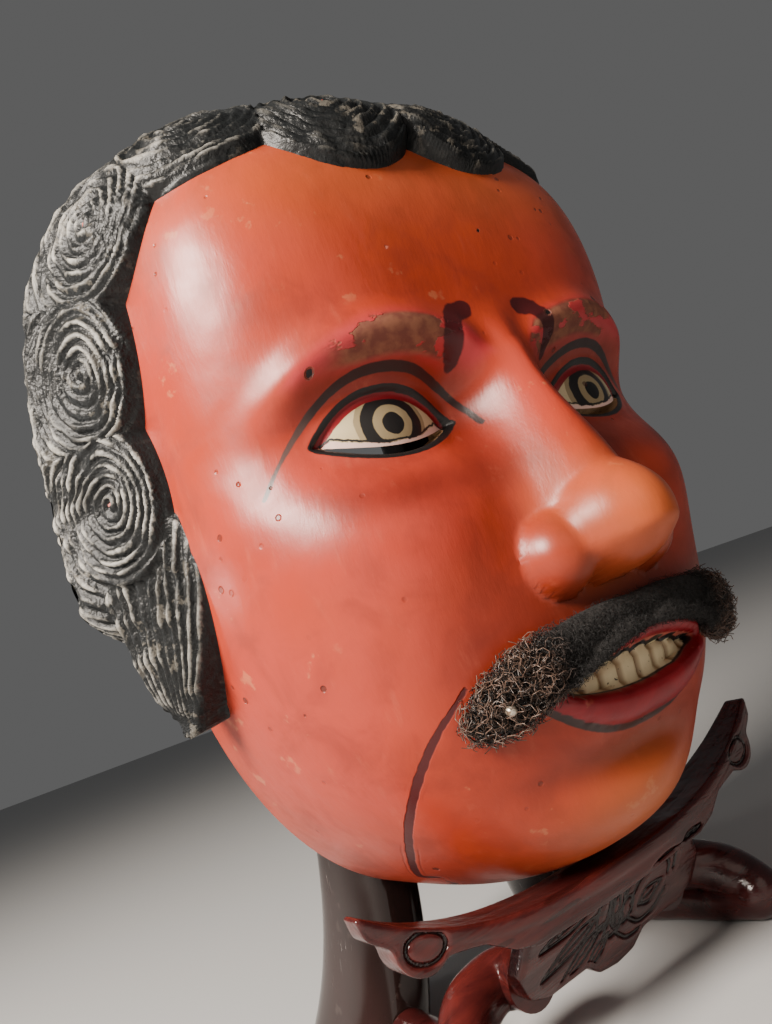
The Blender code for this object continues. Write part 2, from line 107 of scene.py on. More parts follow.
def awayFromRoute(points, route):            # distance to a chain of points, in a plane or through space
    away = np.full(len(points), 1e9)
    for start, end in zip(route[:-1], route[1:]):
        share = np.clip((points - start) @ (end - start) / (np.sum((end - start) ** 2) + 1e-9), 0, 1)
        away = np.minimum(away, np.linalg.norm(points - start - share[:, None] * (end - start), axis=1))
    return away


def gridFaces(across, up, flip=False, start=0):
    row = across + 1
    corner = (np.arange(up)[:, None] * row + np.arange(across)[None]).ravel() + start
    faces = np.stack([corner, corner + 1, corner + row + 1, corner + row], 1)
    return faces[:, ::-1] if flip else faces


def addObject(name, data):
    thing = bpy.data.objects.new(name, data)
    bpy.context.scene.collection.objects.link(thing)
    return thing


def makeObject(name, points, faces, materials, smooth=True):
    data = bpy.data.meshes.new(name)
    data.from_pydata(np.asarray(points).tolist(), [], [list(map(int, face)) for face in faces])
    for material in materials:
        data.materials.append(material)
    if smooth:
        data.shade_smooth()
    return addObject(name, data)


def faceOutwards(thing):
    mesh = bmesh.new()
    mesh.from_mesh(thing.data)
    bmesh.ops.recalc_face_normals(mesh, faces=mesh.faces)
    mesh.to_mesh(thing.data)
    mesh.free()


def tubeFaces(rings, around):                # side walls and both ends of a row of rings
    faces = []
    for j in range(rings - 1):
        for k in range(around):
            low, after = j * around, (k + 1) % around
            faces.append((low + k, low + around + k, low + around + after, low + after))
    return faces + [list(range(around))[::-1], [(rings - 1) * around + k for k in range(around)]]


def triangleCount(thing):
    return sum(len(polygon.vertices) - 2 for polygon in thing.data.polygons)


def closeSheets(thing):                      # join the borders of two sheets
    mesh = bmesh.new()
    mesh.from_mesh(thing.data)
    border = [edge for edge in mesh.edges if len(edge.link_faces) == 1]
    for part in bmesh.ops.bridge_loops(mesh, edges=border)["faces"]:
        part.material_index, part.smooth = len(thing.data.materials) - 1, True
    mesh.to_mesh(thing.data)
    mesh.free()
    faceOutwards(thing)


def corners(thing):
    found = np.zeros(len(thing.data.vertices) * 3)
    thing.data.vertices.foreach_get("co", found)
    return found.reshape(-1, 3)


def addValues(thing, name, values):
    attribute = thing.data.attributes.new(name, "FLOAT", "POINT")
    attribute.data.foreach_set("value", np.asarray(values, dtype=np.float32))


def applyModifiers(thing):
    graph = bpy.context.evaluated_depsgraph_get()
    data = bpy.data.meshes.new_from_object(thing.evaluated_get(graph))
    thing.modifiers.clear()
    thing.data = data


def toScene(points):                         # mask steps to metres
    placed = np.asarray(points, dtype=float).copy()
    placed[:, 1] += rimPlane
    placed[:, 2] += chinLevel
    return placed * step


def toMask(points):                          # metres back to mask steps
    placed = np.asarray(points, dtype=float) / step
    placed[:, 1] -= rimPlane
    placed[:, 2] -= chinLevel
    return placed


def toStand(points):                         # stand steps, from the crescent's front and the table
    placed = np.asarray(points, dtype=float).copy()
    placed[:, 1] += crestFront
    return placed * step


shell = {"top": 187.0, "low": -7.2, "middle": 100.0, "halfWidth": 74.0, "depth": 78.0, "wall": 6.2,
         "sidePower": 2.6, "crownPower": 4.6, "jawPower": 3.6, "outlineUp": 4.2, "outlineLow": 2.45,
         "jawTaper": 0.24, "backTuck": 0.06}

face = {"third": 56.0, "eyeX": 31.5, "eyeZ": 99.0, "eyeHalf": 16.5, "eyeRise": 9.2, "eyeDrop": 6.2,
        "eyeBall": 21.0, "eyeBallBack": 51.0, "lid": 1.3, "mouthZ": 36.0, "mouthHalf": 26.0,
        "lipRise": 9.8, "lipDrop": 11.2, "gapRise": 4.0, "gapDrop": 3.8, "toothWide": 5.3,
        "slitHalf": 14.0, "slitHeight": 1.9, "across": 300, "up": 306, "crowd": 0.22,
        "forms": {"lowCheek": (44, 50, 14, 15, 1.5), "cheekBone": (45, 77, 15, 11, 0.35, 5),
                  "socket": (30.5, 101, 17, 9.5, -9), "innerSocket": (15, 101, 5.5, 9, -4.5),
                  "mouthMound": (0, 36, 24, 16, 5), "chinCrease": (0, 20.5, 15, 3.6, -4.2),
                  "chin": (0, 8, 14, 9.5, 6.5)}}

hair = {"curls": (78.0, 60.5, 45.5, 27.5, 6.5), "forward": (1.05, 0.98, 0.68, 0.54, 0.54),
        "share": 0.48, "shareSide": 0.32, "radius": 20.0, "rise": 9.5, "bed": 4.5, "flare": 10.0,
        "lockFrom": (-7.0, 0.79), "lockTo": (-31.0, 0.86), "lockRadius": 13.0, "lockTaper": 0.72,
        "pitch": 2.5, "ridge": 1.15, "along": 520, "across": 160}

noseBase, browLevel = face["third"], 2 * face["third"]


def shellReach(bearing, inset):
    low = np.sin(bearing) < 0
    rise = np.where(low, shell["middle"] - shell["low"], shell["top"] - shell["middle"]) - inset
    power = np.where(low, shell["outlineLow"], shell["outlineUp"])
    across = np.abs(np.cos(bearing) / (shell["halfWidth"] - inset))
    return (across ** power + np.abs(np.sin(bearing) / rise) ** power) ** (-1 / power)


def sectionPower(bearing):
    up = np.clip(np.sin(bearing), 0, 1) ** 2
    down = np.clip(-np.sin(bearing), 0, 1) ** 2.5
    side = shell["sidePower"]
    return side + (shell["crownPower"] - side) * up + (shell["jawPower"] - side) * down


def narrowing(z, front):
    drop = np.clip((shell["middle"] - z) / shell["middle"], 0, 1)
    return 1 - shell["jawTaper"] * front * drop ** 1.5 - shell["backTuck"] * (1 - front) ** 2


def shellPoint(share, bearing, inset=0.0):
    power = sectionPower(bearing)
    out, front = np.sin(share * math.pi / 2), np.cos(share * math.pi / 2)
    size = (np.abs(out) ** power + np.abs(front) ** power) ** (-1 / power)
    out, front = out * size, np.where(share > 0.9999, 0.0, front * size)
    reach = out * shellReach(bearing, inset)
    z = shell["middle"] + reach * np.sin(bearing)
    return reach * np.cos(bearing) * narrowing(z, front), -(shell["depth"] - inset) * front, z


def shellFront(x, z):
    front = np.ones_like(x)
    for _ in range(8):
        wide = x / narrowing(z, front)
        bearing = np.arctan2(z - shell["middle"], wide)
        power = sectionPower(bearing)
        out = np.clip(np.hypot(wide, z - shell["middle"]) / shellReach(bearing, 0.0), 0, 1)
        front = (1 - out ** power) ** (1 / power)
    return shell["depth"] * front


def lowerLid(offset):                        # height of the lower lid's edge beside the middle of the eye
    share = np.clip(np.abs(offset) / face["eyeHalf"], 0, 1)
    return 0.05 * offset - face["eyeDrop"] * (1 - share ** 2)


def eyeAway(x, z):                           # about how far outside the almond opening
    side, up = np.abs(x) - face["eyeX"], z - face["eyeZ"]
    share = np.clip(np.abs(side) / face["eyeHalf"], 0, 1)
    over = up - 0.05 * side - face["eyeRise"] * (1 - share ** 2.3)
    beside = np.hypot(np.clip(np.abs(side) - face["eyeHalf"], 0, None), up - 0.05 * side)
    within = np.maximum(over, lowerLid(side) - up) / np.sqrt(1 + (1.2 * share) ** 2)
    return np.where(np.abs(side) > face["eyeHalf"], beside, within)


def noseRise(x, z):
    side = np.abs(x)
    along = np.clip((z - noseBase - 6) / (browLevel - noseBase - 6), 0, 1)
    ridge = (21 * (1 - along) + 6.5 * along) * ease(browLevel + 14, browLevel - 4, z)
    bridge = ridge * np.exp(-(side / (14 - 5 * along)) ** 2.4) * ease(noseBase - 1.5, noseBase + 6, z)
    wings = 12.5 * ball(side, z, 12.5, noseBase + 6.5, 8.2, 9) ** 0.8
    tip = 24 * ball(x, z, 0, noseBase + 10, 13, 12) ** 0.7
    return np.clip(merge(merge(bridge, wings, 6), tip, 7), 0, None)


def lipLines(x):                             # upper edge, lower edge, and the two edges of the gap
    side = np.abs(x)
    out = np.clip(side / face["mouthHalf"], 0, 1)
    gap = np.clip(side / (face["mouthHalf"] - 4.5), 0, 1)
    middle = face["mouthZ"]
    top = middle + 0.5 + face["lipRise"] * (1 - out ** 2) - 1.8 * np.exp(-(x / 4) ** 2)
    low = middle + 0.5 - face["lipDrop"] * (1 - out ** 2.4)
    gapTop = middle + 0.3 + face["gapRise"] * (1 - gap ** 2.2)
    gapLow = middle + 0.3 - face["gapDrop"] * (1 - gap ** 2.2)
    return top, low, gapTop, gapLow


def teethLines(x):                           # scalloped upper edge, lower edge, place across a tooth
    _, _, gapTop, gapLow = lipLines(x)
    place = np.abs(x) / face["toothWide"]
    within = 2 * np.abs(place - np.floor(place) - 0.5)
    return gapTop - 1.9 + 0.9 * (1 - within ** 2), gapLow + 0.3, within


def mouthRise(x, z):
    side = np.abs(x)
    top, low, gapTop, gapLow = lipLines(x)
    toothTop, toothLow, within = teethLines(x)
    span = 1 - ease(face["mouthHalf"] - 6, face["mouthHalf"], side)
    upper = np.clip(1 - ((2 * z - top - gapTop) / np.maximum(top - gapTop, 0.8)) ** 2, 0, 1)
    lower = np.clip(1 - ((2 * z - low - gapLow) / np.maximum(gapLow - low, 0.8)) ** 2, 0, 1)
    between = np.clip(np.minimum(gapTop - z, z - gapLow) / 0.9, 0, 1)
    inTooth = np.clip(np.minimum(toothTop - z, z - toothLow) / 0.9, 0, 1)
    tooth = 1.7 * inTooth ** 0.6 * (1 - 0.85 * within ** 5)
    return (2.6 * upper ** 0.4 + 3.2 * lower ** 0.4) * span + (tooth - 3.2) * between * span


def faceRise(x, z):
    side = np.abs(x)
    browSpan = ease(3, 12, side) * (1 - ease(48, 62, side))
    brow = 4.2 * np.exp(-((z - browLine(side) + 1.5) / 5.5) ** 2) * browSpan
    return bumps(side, z, face["forms"].values()) + brow + mouthRise(x, z) + noseRise(x, z)


def browLine(side):
    return browLevel + 7 * (1 - ((side - 31) / 25) ** 2)


def faceFront(x, z, plain):
    whole = plain + faceRise(x, z) * ease(0, 25, plain)
    side = np.abs(x) - face["eyeX"]
    away = np.hypot(side, z - face["eyeZ"])
    crown = np.sqrt(np.clip(face["eyeBall"] ** 2 - away ** 2, 0, None))
    ballFront = face["eyeBallBack"] + crown - 0.12 * side
    near = 1 - ease(face["eyeHalf"] + 4, face["eyeHalf"] + 9, away)
    lids = merge(whole, ballFront + face["lid"], 3.5) * near + whole * (1 - near)
    openEye = 1 - ease(-1.3, 0.5, eyeAway(x, z))
    return lids * (1 - openEye) + ballFront * openEye


def faceAt(x, z):                            # depth of the carved face behind a place on the drawing
    return -faceFront(x, z, shellFront(x, z))


def hairLine(bearing):
    return hair["share"] + hair["shareSide"] * np.abs(np.cos(bearing)) ** 1.3


def hairPlace(bearing, share=None):          # on the row of curls, or at a share of its own
    angle = np.array(math.radians(bearing))
    return np.array(shellPoint(hairLine(angle) if share is None else np.array(share), angle))


def discGrid(across, up, crowd):
    u, v = np.linspace(-1, 1, across + 1), np.linspace(-1, 1, up + 1)
    u, v = np.meshgrid(u * (1 - crowd + crowd * u ** 2), v * (1 - crowd + crowd * v ** 2))
    acrossDisc, upDisc = u * np.sqrt(1 - v ** 2 / 2), v * np.sqrt(1 - u ** 2 / 2)
    share = np.clip(np.hypot(acrossDisc, upDisc), 0, 1)
    return share.ravel(), np.arctan2(upDisc, acrossDisc).ravel()


def newMaterial(name):
    material = bpy.data.materials.new(name)
    material.use_nodes = True
    return material, Wires(material.node_tree)


def addNode(tree, kind, inputs, **settings):    # a node with its settings and inputs; gives its outputs
    node = tree.nodes.new(kind)
    for key, value in settings.items():
        setattr(node, key, value)
    for key, value in inputs.items():
        if isinstance(value, bpy.types.NodeSocket):
            tree.links.new(value, node.inputs[key])
        else:
            setPlain(node.inputs[key], value)
    return node.outputs


def setPlain(socket, value):
    socket.default_value = (*value, 1.0) if socket.type == "RGBA" else value


class Wires:                                 # short ways to place and join shader nodes
    def __init__(self, tree, place=None):
        self.tree = tree
        self.place = place or self.add("TexCoord")["Object"]
        self.colour = None

    def add(self, kind, inputs=(), **settings):
        return addNode(self.tree, "ShaderNode" + kind, dict(inputs), **settings)

    def math(self, operation, first, second):
        return self.add("Math", {0: first, 1: second}, operation=operation)[0]

    def times(self, first, *others):
        for other in others:
            first = self.math("MULTIPLY", first, other)
        return first

    def plus(self, first, second):
        return self.math("ADD", first, second)

    def minus(self, first, second):
        return self.math("SUBTRACT", first, second)

    def centred(self, value, size):                # a 0 to 1 pattern, moved to either side of 0
        return self.times(self.minus(value, 0.5), size)

    def attribute(self, name):
        return self.add("Attribute", attribute_name=name)["Fac"]

    def noise(self, scale, detail=3.0, rough=0.5, stretch=(1, 1, 1), shift=(0, 0, 0), twist=0.0):
        place = self.add("Mapping", {"Vector": self.place, "Scale": stretch, "Location": shift})[0]
        given = {"Vector": place, "Scale": scale, "Detail": detail, "Roughness": rough, "Distortion": twist}
        return self.add("TexNoise", given)["Fac"]

    def cells(self, scale):
        return self.add("TexVoronoi", {"Vector": self.place, "Scale": scale})["Distance"]

    def shared(self, group, **values):             # a shared group fed with this material's coordinates
        return self.add("Group", {"Vector": self.place, **values}, node_tree=group)

    def fade(self, value, start, end):             # 0 at start, 1 at end
        low, high, rising = min(start, end), max(start, end), float(start < end)
        given = {"Value": value, "From Min": low, "From Max": high, "To Min": 1 - rising, "To Max": rising}
        return self.add("MapRange", given, interpolation_type="SMOOTHSTEP")[0]

    def band(self, value, low, high, soft=0.12):   # 1 between two values, 0 outside
        rising = self.fade(value, low - soft, low + soft)
        return self.times(rising, self.fade(value, high + soft, high - soft))

    def mix(self, share, first, second):           # two colours, each a socket or the name of a paint
        first, second = (paint[tone] if isinstance(tone, str) else tone for tone in (first, second))
        return self.add("Mix", {"Factor": share, 6: first, 7: second}, data_type="RGBA")[2]

    def blend(self, share, first, second):         # the same for plain numbers
        return self.add("Mix", {0: share, 2: first, 3: second}, data_type="FLOAT")[0]

    def coat(self, mask, tone, amount=1.0):        # paint over the colour so far
        self.colour = self.mix(mask if amount == 1 else self.times(mask, amount), self.colour, tone)

    def bump(self, height, distance, **normal):
        return self.add("Bump", {"Height": height, "Distance": distance, **normal})[0]

    def finish(self, rough, normal=None, **plain):
        shader = self.tree.nodes["Principled BSDF"].inputs
        for name, value in (("Base Color", self.colour), ("Roughness", rough), ("Normal", normal)):
            if isinstance(value, bpy.types.NodeSocket):
                self.tree.links.new(value, shader[name])
            elif value is not None:
                setPlain(shader[name], value)
        for name, value in plain.items():
            shader[name.replace("_", " ")].default_value = value


def newGroup(name, inputs, outputs):         # a shared shader group, with its two ends
    tree = bpy.data.node_groups.new(name, "ShaderNodeTree")
    tree.interface.new_socket("Vector", in_out="INPUT", socket_type="NodeSocketVector")
    for key, value in inputs:
        tree.interface.new_socket(key, in_out="INPUT", socket_type="NodeSocketFloat").default_value = value
    for key in outputs:
        tree.interface.new_socket(key, in_out="OUTPUT", socket_type="NodeSocketFloat")
    start, end = tree.nodes.new("NodeGroupInput"), tree.nodes.new("NodeGroupOutput")
    return tree, start.outputs, end.inputs, Wires(tree, start.outputs["Vector"])


def grainGroup():                            # long wood fibres with open pores
    tree, given, made, w = newGroup("woodGrain", (("Scale", 40.0), ("Pores", 0.5)), ("Grain", "Pore"))
    fibre = w.noise(given["Scale"], 5, 0.62, stretch=(1.0, 4.0, 7.0), twist=0.7)
    tree.links.new(fibre, made["Grain"])
    pore = w.noise(w.times(given["Scale"], 9.0), 1, 0.5, stretch=(0.16, 1.0, 1.3))
    tree.links.new(w.times(w.fade(pore, 0.66, 0.72), given["Pores"]), made["Pore"])
    return tree


def wearGroup():                             # small rubbed or dusty spots that gather in patches
    inputs = (("Scale", 130.0), ("Amount", 0.5), ("Edge", 0.0))
    tree, given, made, w = newGroup("wornSpots", inputs, ("Spots",))
    spot = w.plus(w.noise(given["Scale"], 4, 0.62, shift=(0.7, 0.2, 0.5)), w.times(given["Edge"], 0.12))
    patch = w.noise(w.times(given["Scale"], 0.17), 2, 0.5, shift=(0.2, 0.9, 0.1))
    shown = w.times(w.fade(spot, 0.62, 0.68), w.fade(patch, 0.46, 0.58), given["Amount"])
    tree.links.new(shown, made["Spots"])
    return tree


woodGrain, wornSpots = grainGroup(), wearGroup()

paint = {"salmon": (0.335, 0.033, 0.011), "rose": (0.36, 0.038, 0.021), "rust": (0.115, 0.011, 0.006),
         "ochre": (0.50, 0.13, 0.03), "crimson": (0.17, 0.005, 0.009), "lipRed": (0.27, 0.010, 0.016),
         "brick": (0.30, 0.035, 0.016), "brushMark": (0.52, 0.13, 0.075), "rubbed": (0.52, 0.22, 0.10),
         "black": (0.010, 0.009, 0.009), "line": (0.020, 0.017, 0.016), "maroon": (0.035, 0.004, 0.006),
         "tailGrey": (0.055, 0.040, 0.036), "browPink": (0.40, 0.032, 0.040),
         "glue": (0.115, 0.040, 0.025), "paleGlue": (0.20, 0.085, 0.045), "gum": (0.46, 0.12, 0.085),
         "deepGum": (0.34, 0.06, 0.05), "cream": (0.56, 0.47, 0.29), "oldWhite": (0.46, 0.36, 0.21),
         "beige": (0.26, 0.20, 0.11), "toothBrown": (0.20, 0.11, 0.045),
         "toothSpeck": (0.05, 0.035, 0.02), "primer": (0.66, 0.44, 0.38), "holeRim": (0.32, 0.10, 0.07),
         "hole": (0.003, 0.002, 0.002), "speck": (0.05, 0.012, 0.008), "hollowWood": (0.30, 0.17, 0.08),
         "freshWood": (0.42, 0.25, 0.12), "hollowStain": (0.13, 0.065, 0.035),
         "hollowPore": (0.07, 0.035, 0.02), "hairBlack": (0.0062, 0.0072, 0.0078),
         "hairWorn": (0.36, 0.345, 0.31), "hairDust": (0.16, 0.145, 0.12),
         "hairLine": (0.06, 0.058, 0.052), "hairChip": (0.40, 0.08, 0.055),
         "darkRosewood": (0.036, 0.0065, 0.0065), "rosewood": (0.080, 0.0125, 0.0105),
         "rosewoodStain": (0.014, 0.0035, 0.0035), "rosewoodPore": (0.006, 0.002, 0.002),
         "groove": (0.004, 0.0025, 0.0025), "rosewoodDust": (0.16, 0.09, 0.07),
         "lacquer": (0.010, 0.0055, 0.005), "lacquerCloud": (0.022, 0.010, 0.009),
         "scratch": (0.12, 0.09, 0.08), "lacquerDust": (0.11, 0.085, 0.075),
         "strand": (0.0055, 0.005, 0.005), "strandGlint": (0.11, 0.068, 0.05),
         "fluff": (0.004, 0.0035, 0.0035), "paleFluff": (0.012, 0.010, 0.009),
         "brass": (0.60, 0.54, 0.45), "tarnish": (0.22, 0.15, 0.10)}


def paintedSkin():
    material, w = newMaterial("paintedSkin")
    wobble = w.minus(w.noise(420, 2), 0.5)
    slow, mottle, fine = w.noise(16, 3, 0.55), w.noise(75, 4, 0.6, twist=0.6), w.noise(340, 4, 0.65)
    brush = w.noise(260, 5, 0.7, stretch=(1, 1, 0.25))
    w.colour = w.mix(w.fade(slow, 0.38, 0.62), "salmon", "rose")
    w.coat(w.fade(mottle, 0.42, 0.70), "rust", 0.36)
    w.coat(w.fade(fine, 0.52, 0.72), "brick", 0.20)
    w.coat(w.attribute("shadowWash"), "rust", 0.8)
    # painted highlight: lighter, yellower paint on the chin, the nose tip and the forehead
    w.coat(w.attribute("paintedHighlightWash"), "ochre", 0.7)
    w.coat(w.fade(brush, 0.56, 0.76), "brushMark", 0.15)

    def wobbled(name, size):
        return w.plus(w.attribute(name), w.times(wobble, size))

    # brow paint, with the marks of old glue and a dark dab at its inner end
    brow = w.attribute("browAway")
    w.coat(w.fade(w.plus(brow, w.centred(mottle, 4)), 6.5, 1.5), "browPink", 0.85)
    patch = w.noise(82, 5, 0.62, stretch=(0.6, 0.6, 1.25), shift=(0.3, 0.1, 0.2))
    glueMask = w.times(w.fade(patch, 0.475, 0.50), w.fade(brow, 4.4, 3.0),
                       w.fade(w.attribute("browAlong"), 46, 38))
    glueTone = w.mix(w.fade(w.noise(420, 3), 0.35, 0.7), "glue", "paleGlue")
    w.coat(glueMask, glueTone, 0.92)
    w.coat(w.fade(wobbled("dabAway", 1.2), 0.3, -0.3), "maroon", 0.94)

    # the painted line of the cheek and jaw, doubled in places
    cheek = wobbled("cheekAway", 0.7)
    line = w.fade(w.minus(cheek, w.attribute("cheekWidth")), 0.18, -0.18)
    double = w.times(w.band(cheek, 1.7, 2.15, 0.15), w.fade(w.noise(28, 2), 0.50, 0.56), 0.3)
    line = w.math("MAXIMUM", line, double)
    w.coat(line, "maroon", 0.93)

    # lips, gums and teeth
    lips = wobbled("lipAway", 0.5)
    w.coat(w.fade(lips, 0.15, -0.15), w.mix(w.fade(mottle, 0.35, 0.7), "crimson", "lipRed"))
    w.coat(w.band(lips, -0.15, 1.35, 0.2), "line", 0.95)
    inGap = w.fade(w.attribute("gapAway"), 0.1, -0.15)
    w.coat(inGap, w.mix(w.fade(mottle, 0.4, 0.65), "gum", "deepGum"))
    tooth = wobbled("toothAway", 0.25)
    w.coat(w.times(w.fade(tooth, 1.0, 0.75), inGap), "line")
    # the teeth turn brown towards the gaps between them, partly stain and partly painted shade
    cream = w.mix(w.fade(w.attribute("toothEdge"), 0.55, 1.0), "cream", "toothBrown")
    cream = w.mix(w.fade(w.noise(900, 2), 0.68, 0.72), cream, "toothSpeck")
    w.coat(w.times(w.fade(tooth, 0.05, -0.12), inGap), cream)

    # eyes: white, rings of the iris, red band, pale primer by the slit and black lines
    eye = wobbled("eyeAway", 0.35)
    inside = w.fade(eye, 0.1, -0.1)
    w.coat(inside, w.mix(w.fade(slow, 0.4, 0.6), "cream", "oldWhite"))
    iris = wobbled("irisAway", 0.6)
    w.coat(w.times(w.fade(iris, 8.3, 8.1), inside), "beige")
    w.coat(w.times(w.band(iris, 4.5, 7.0), inside), "black")
    w.coat(w.times(w.fade(iris, 2.6, 2.4), inside), "black")
    red = w.times(w.fade(eye, -2.3, -2.1), inside, w.fade(w.attribute("eyeUpper"), -1.5, 0.2))
    w.coat(red, "crimson")
    ragged = w.plus(w.attribute("slitAway"), w.centred(fine, 1.6))
    w.coat(w.times(w.fade(ragged, 0.95, 0.7), inside), "primer")
    w.coat(w.times(w.band(ragged, 1.0, 1.5), inside), "black")
    w.coat(w.band(eye, -0.55, 0.8), "black")
    lidTone = w.mix(w.fade(w.attribute("lidAlong"), 0.80, 0.90), "black", "tailGrey")
    w.coat(w.fade(wobbled("lidAway", 0.25), 0.14, -0.14), lidTone, 0.94)

    # tack holes with their insides painted near-black as painted shade, pin pricks and rubbed spots
    hole = w.attribute("holeAway")
    w.coat(w.band(hole, 0.75, 1.1, 0.12), "holeRim", 0.7)
    w.coat(w.fade(hole, 0.85, 0.65), "hole")
    prick = w.minus(w.cells(170), w.times(w.noise(120, 1), 0.20))
    speck = w.times(w.fade(prick, 0.03, -0.02), w.fade(w.noise(30, 2), 0.52, 0.64))
    w.coat(speck, "speck", 0.75)
    clear = w.times(w.fade(brow, 7, 10), w.fade(eye, 4, 6), 0.3)
    w.coat(w.shared(wornSpots, Scale=150.0, Amount=clear)["Spots"], "rubbed")

    rough = w.blend(w.fade(mottle, 0.3, 0.7), 0.31, 0.42)
    height = w.plus(w.times(w.noise(55, 2, 0.5), 0.6), w.times(brush, 0.10))
    for mask, depth in ((speck, 0.25), (w.fade(hole, 1.1, 0.7), 0.8), (glueMask, 0.14), (line, 0.12)):
        height = w.minus(height, w.times(mask, depth))
    w.finish(w.blend(w.times(glueMask, 0.8), rough, 0.75), w.bump(height, 0.0009), Specular_IOR_Level=0.34)
    return material


def rawWood():
    material, w = newMaterial("hollowWood")
    wood = w.shared(woodGrain, Scale=55.0, Pores=0.6)
    w.colour = w.mix(w.fade(wood["Grain"], 0.35, 0.65), "hollowWood", "freshWood")
    w.coat(w.fade(w.noise(20, 3), 0.45, 0.7), "hollowStain", 0.55)
    w.coat(wood["Pore"], "hollowPore")
    height = w.plus(w.cells(95), w.times(wood["Grain"], 0.25))
    w.finish(w.blend(wood["Grain"], 0.55, 0.8), w.bump(height, 0.0012))
    return material


def hairPaint():
    material, w = newMaterial("wornBlackHair")
    ridge, band = w.attribute("ridge"), w.attribute("band")
    fine, slow = w.noise(700, 3, 0.6), w.noise(34, 3, 0.6)
    level = w.plus(ridge, w.centred(fine, 0.75))
    # lighter grey on the ridge tops: partly worn paint, partly a painted highlight
    ridgeWearAndHighlight = w.times(w.fade(level, 0.62, 1.05), w.fade(slow, 0.30, 0.55), w.attribute("rubbed"))
    w.colour = w.mix(ridgeWearAndHighlight, "hairBlack", "hairWorn")
    dust = w.shared(wornSpots, Scale=240.0, Amount=0.45, Edge=ridge)["Spots"]
    w.coat(w.times(dust, w.fade(band, 0.7, 0.2)), "hairDust")
    lines = w.noise(420, 2, 0.5, stretch=(0.25, 1.0, 1.0))
    w.coat(w.times(w.fade(lines, 0.58, 0.66), band), "hairLine", 0.25)
    w.coat(w.fade(w.plus(w.attribute("chip"), w.times(fine, 0.6)), 1.02, 1.08), "hairChip")
    chisel = w.plus(w.times(fine, 1.0), w.times(w.noise(230, 3), 1.8))
    relief = w.bump(w.times(chisel, w.blend(band, 1.0, 0.25)), 0.0004)
    w.finish(w.blend(ridgeWearAndHighlight, 0.42, 0.58), relief, Specular_IOR_Level=0.3)
    return material


def rosewood():
    material, w = newMaterial("carvedRosewood")
    wood = w.shared(woodGrain, Scale=38.0, Pores=0.5)
    grain, groove = wood["Grain"], w.attribute("grooveAway")
    w.colour = w.mix(w.fade(grain, 0.35, 0.68), "darkRosewood", "rosewood")
    w.coat(w.fade(w.noise(18, 3), 0.4, 0.7), "rosewoodStain", 0.5)
    w.coat(wood["Pore"], "rosewoodPore")
    # painted shade: near-black paint along the carved grooves, in the recesses
    w.coat(w.fade(groove, 0.16, -0.16), "groove", 0.92)
    w.coat(w.shared(wornSpots, Scale=95.0, Amount=0.12)["Spots"], "rosewoodDust")
    grained = w.bump(w.plus(grain, w.noise(120, 3)), 0.0003)
    w.finish(w.blend(w.noise(90, 3), 0.12, 0.26), w.bump(w.fade(groove, -0.4, 0.3), 0.0004, Normal=grained))
    return material


def darkLacquer():
    material, w = newMaterial("darkLacquer")
    cloud = w.noise(14, 3)
    w.colour = w.mix(w.fade(cloud, 0.4, 0.65), "lacquer", "lacquerCloud")
    scratch = w.noise(900, 2, 0.5, stretch=(1.0, 1.0, 0.012), twist=0.2)
    mask = w.times(w.fade(scratch, 0.66, 0.70), w.fade(w.noise(25, 2), 0.5, 0.6))
    w.coat(mask, "scratch", 0.5)
    w.coat(w.shared(wornSpots, Scale=160.0, Amount=0.15)["Spots"], "lacquerDust")
    relief = w.bump(w.minus(w.times(cloud, 2.0), mask), 0.0003)
    w.finish(w.blend(w.noise(60, 3), 0.06, 0.15), relief, Specular_IOR_Level=0.32)
    return material


def realHair():
    material, w = newMaterial("curlyHair")
    out = w.fade(w.attribute("bushy"), 0.6, 1.0)
    glint = w.times(w.fade(w.attribute("strandShade"), 0.45, 1.0), out)
    w.colour = w.mix(glint, "strand", "strandGlint")
    w.finish(w.blend(out, 0.75, 0.34))
    return material


def strandBacking():
    material, w = newMaterial("hairBacking")
    w.colour = w.mix(w.noise(800, 2), "fluff", "paleFluff")
    w.finish(0.9, w.bump(w.noise(900, 2), 0.0008))
    return material


def tackMetal():
    material, w = newMaterial("tackHead")
    w.colour = w.mix(w.fade(w.noise(900, 3), 0.45, 0.65), "brass", "tarnish")
    w.finish(w.blend(w.noise(1200, 2), 0.25, 0.5), Metallic=0.8)
    return material


skinPaint, hollowWood, blackHair, tackHead = paintedSkin(), rawWood(), hairPaint(), tackMetal()
standWood, postLacquer, strandHair, backing = rosewood(), darkLacquer(), realHair(), strandBacking()
print("materials made")


guide = {"dab": ((8.5, 120.5), (12.0, 119.5), (14.4, 115), (14.0, 109.5)),
         "jaw": ((38, 44), (43.5, 37), (46, 28), (45, 18), (40, 8), (32, 0.5), (22, -3.5), (10, -5)),
         "lid": ((-20.5, -3.5), (-19.6, 1.0), (-16.2, 6.6), (-10, 10.6), (-3, 12.5), (4, 12.6),
                 (10, 10.9), (15, 7.6), (19.5, 3.4), (24, -1.6), (27.5, -6.5)),
         "tackHoles": ((15.5, 117.5), (36, 121.5), (58, 108), (-47, 113)),
         "pinHoles": ((6, 141), (-22, 137)),
         "shadows": ((14.5, 92, 4.5, 12, 1), (15, 64, 7, 7, 0.6), (0, 51, 24, 4.5, 1),
                     (36, 84, 16, 3.2, 0.8), (0, 21, 16, 3.5, 1), (36, 42, 5, 12, 0.6)),
         # spots of painted highlight on the chin, the nose tip and the forehead
         "highlightSpots": ((0, 8, 13, 8, 1), (0, 66, 9, 9, 0.8), (18, 160, 30, 12, 0.5))}


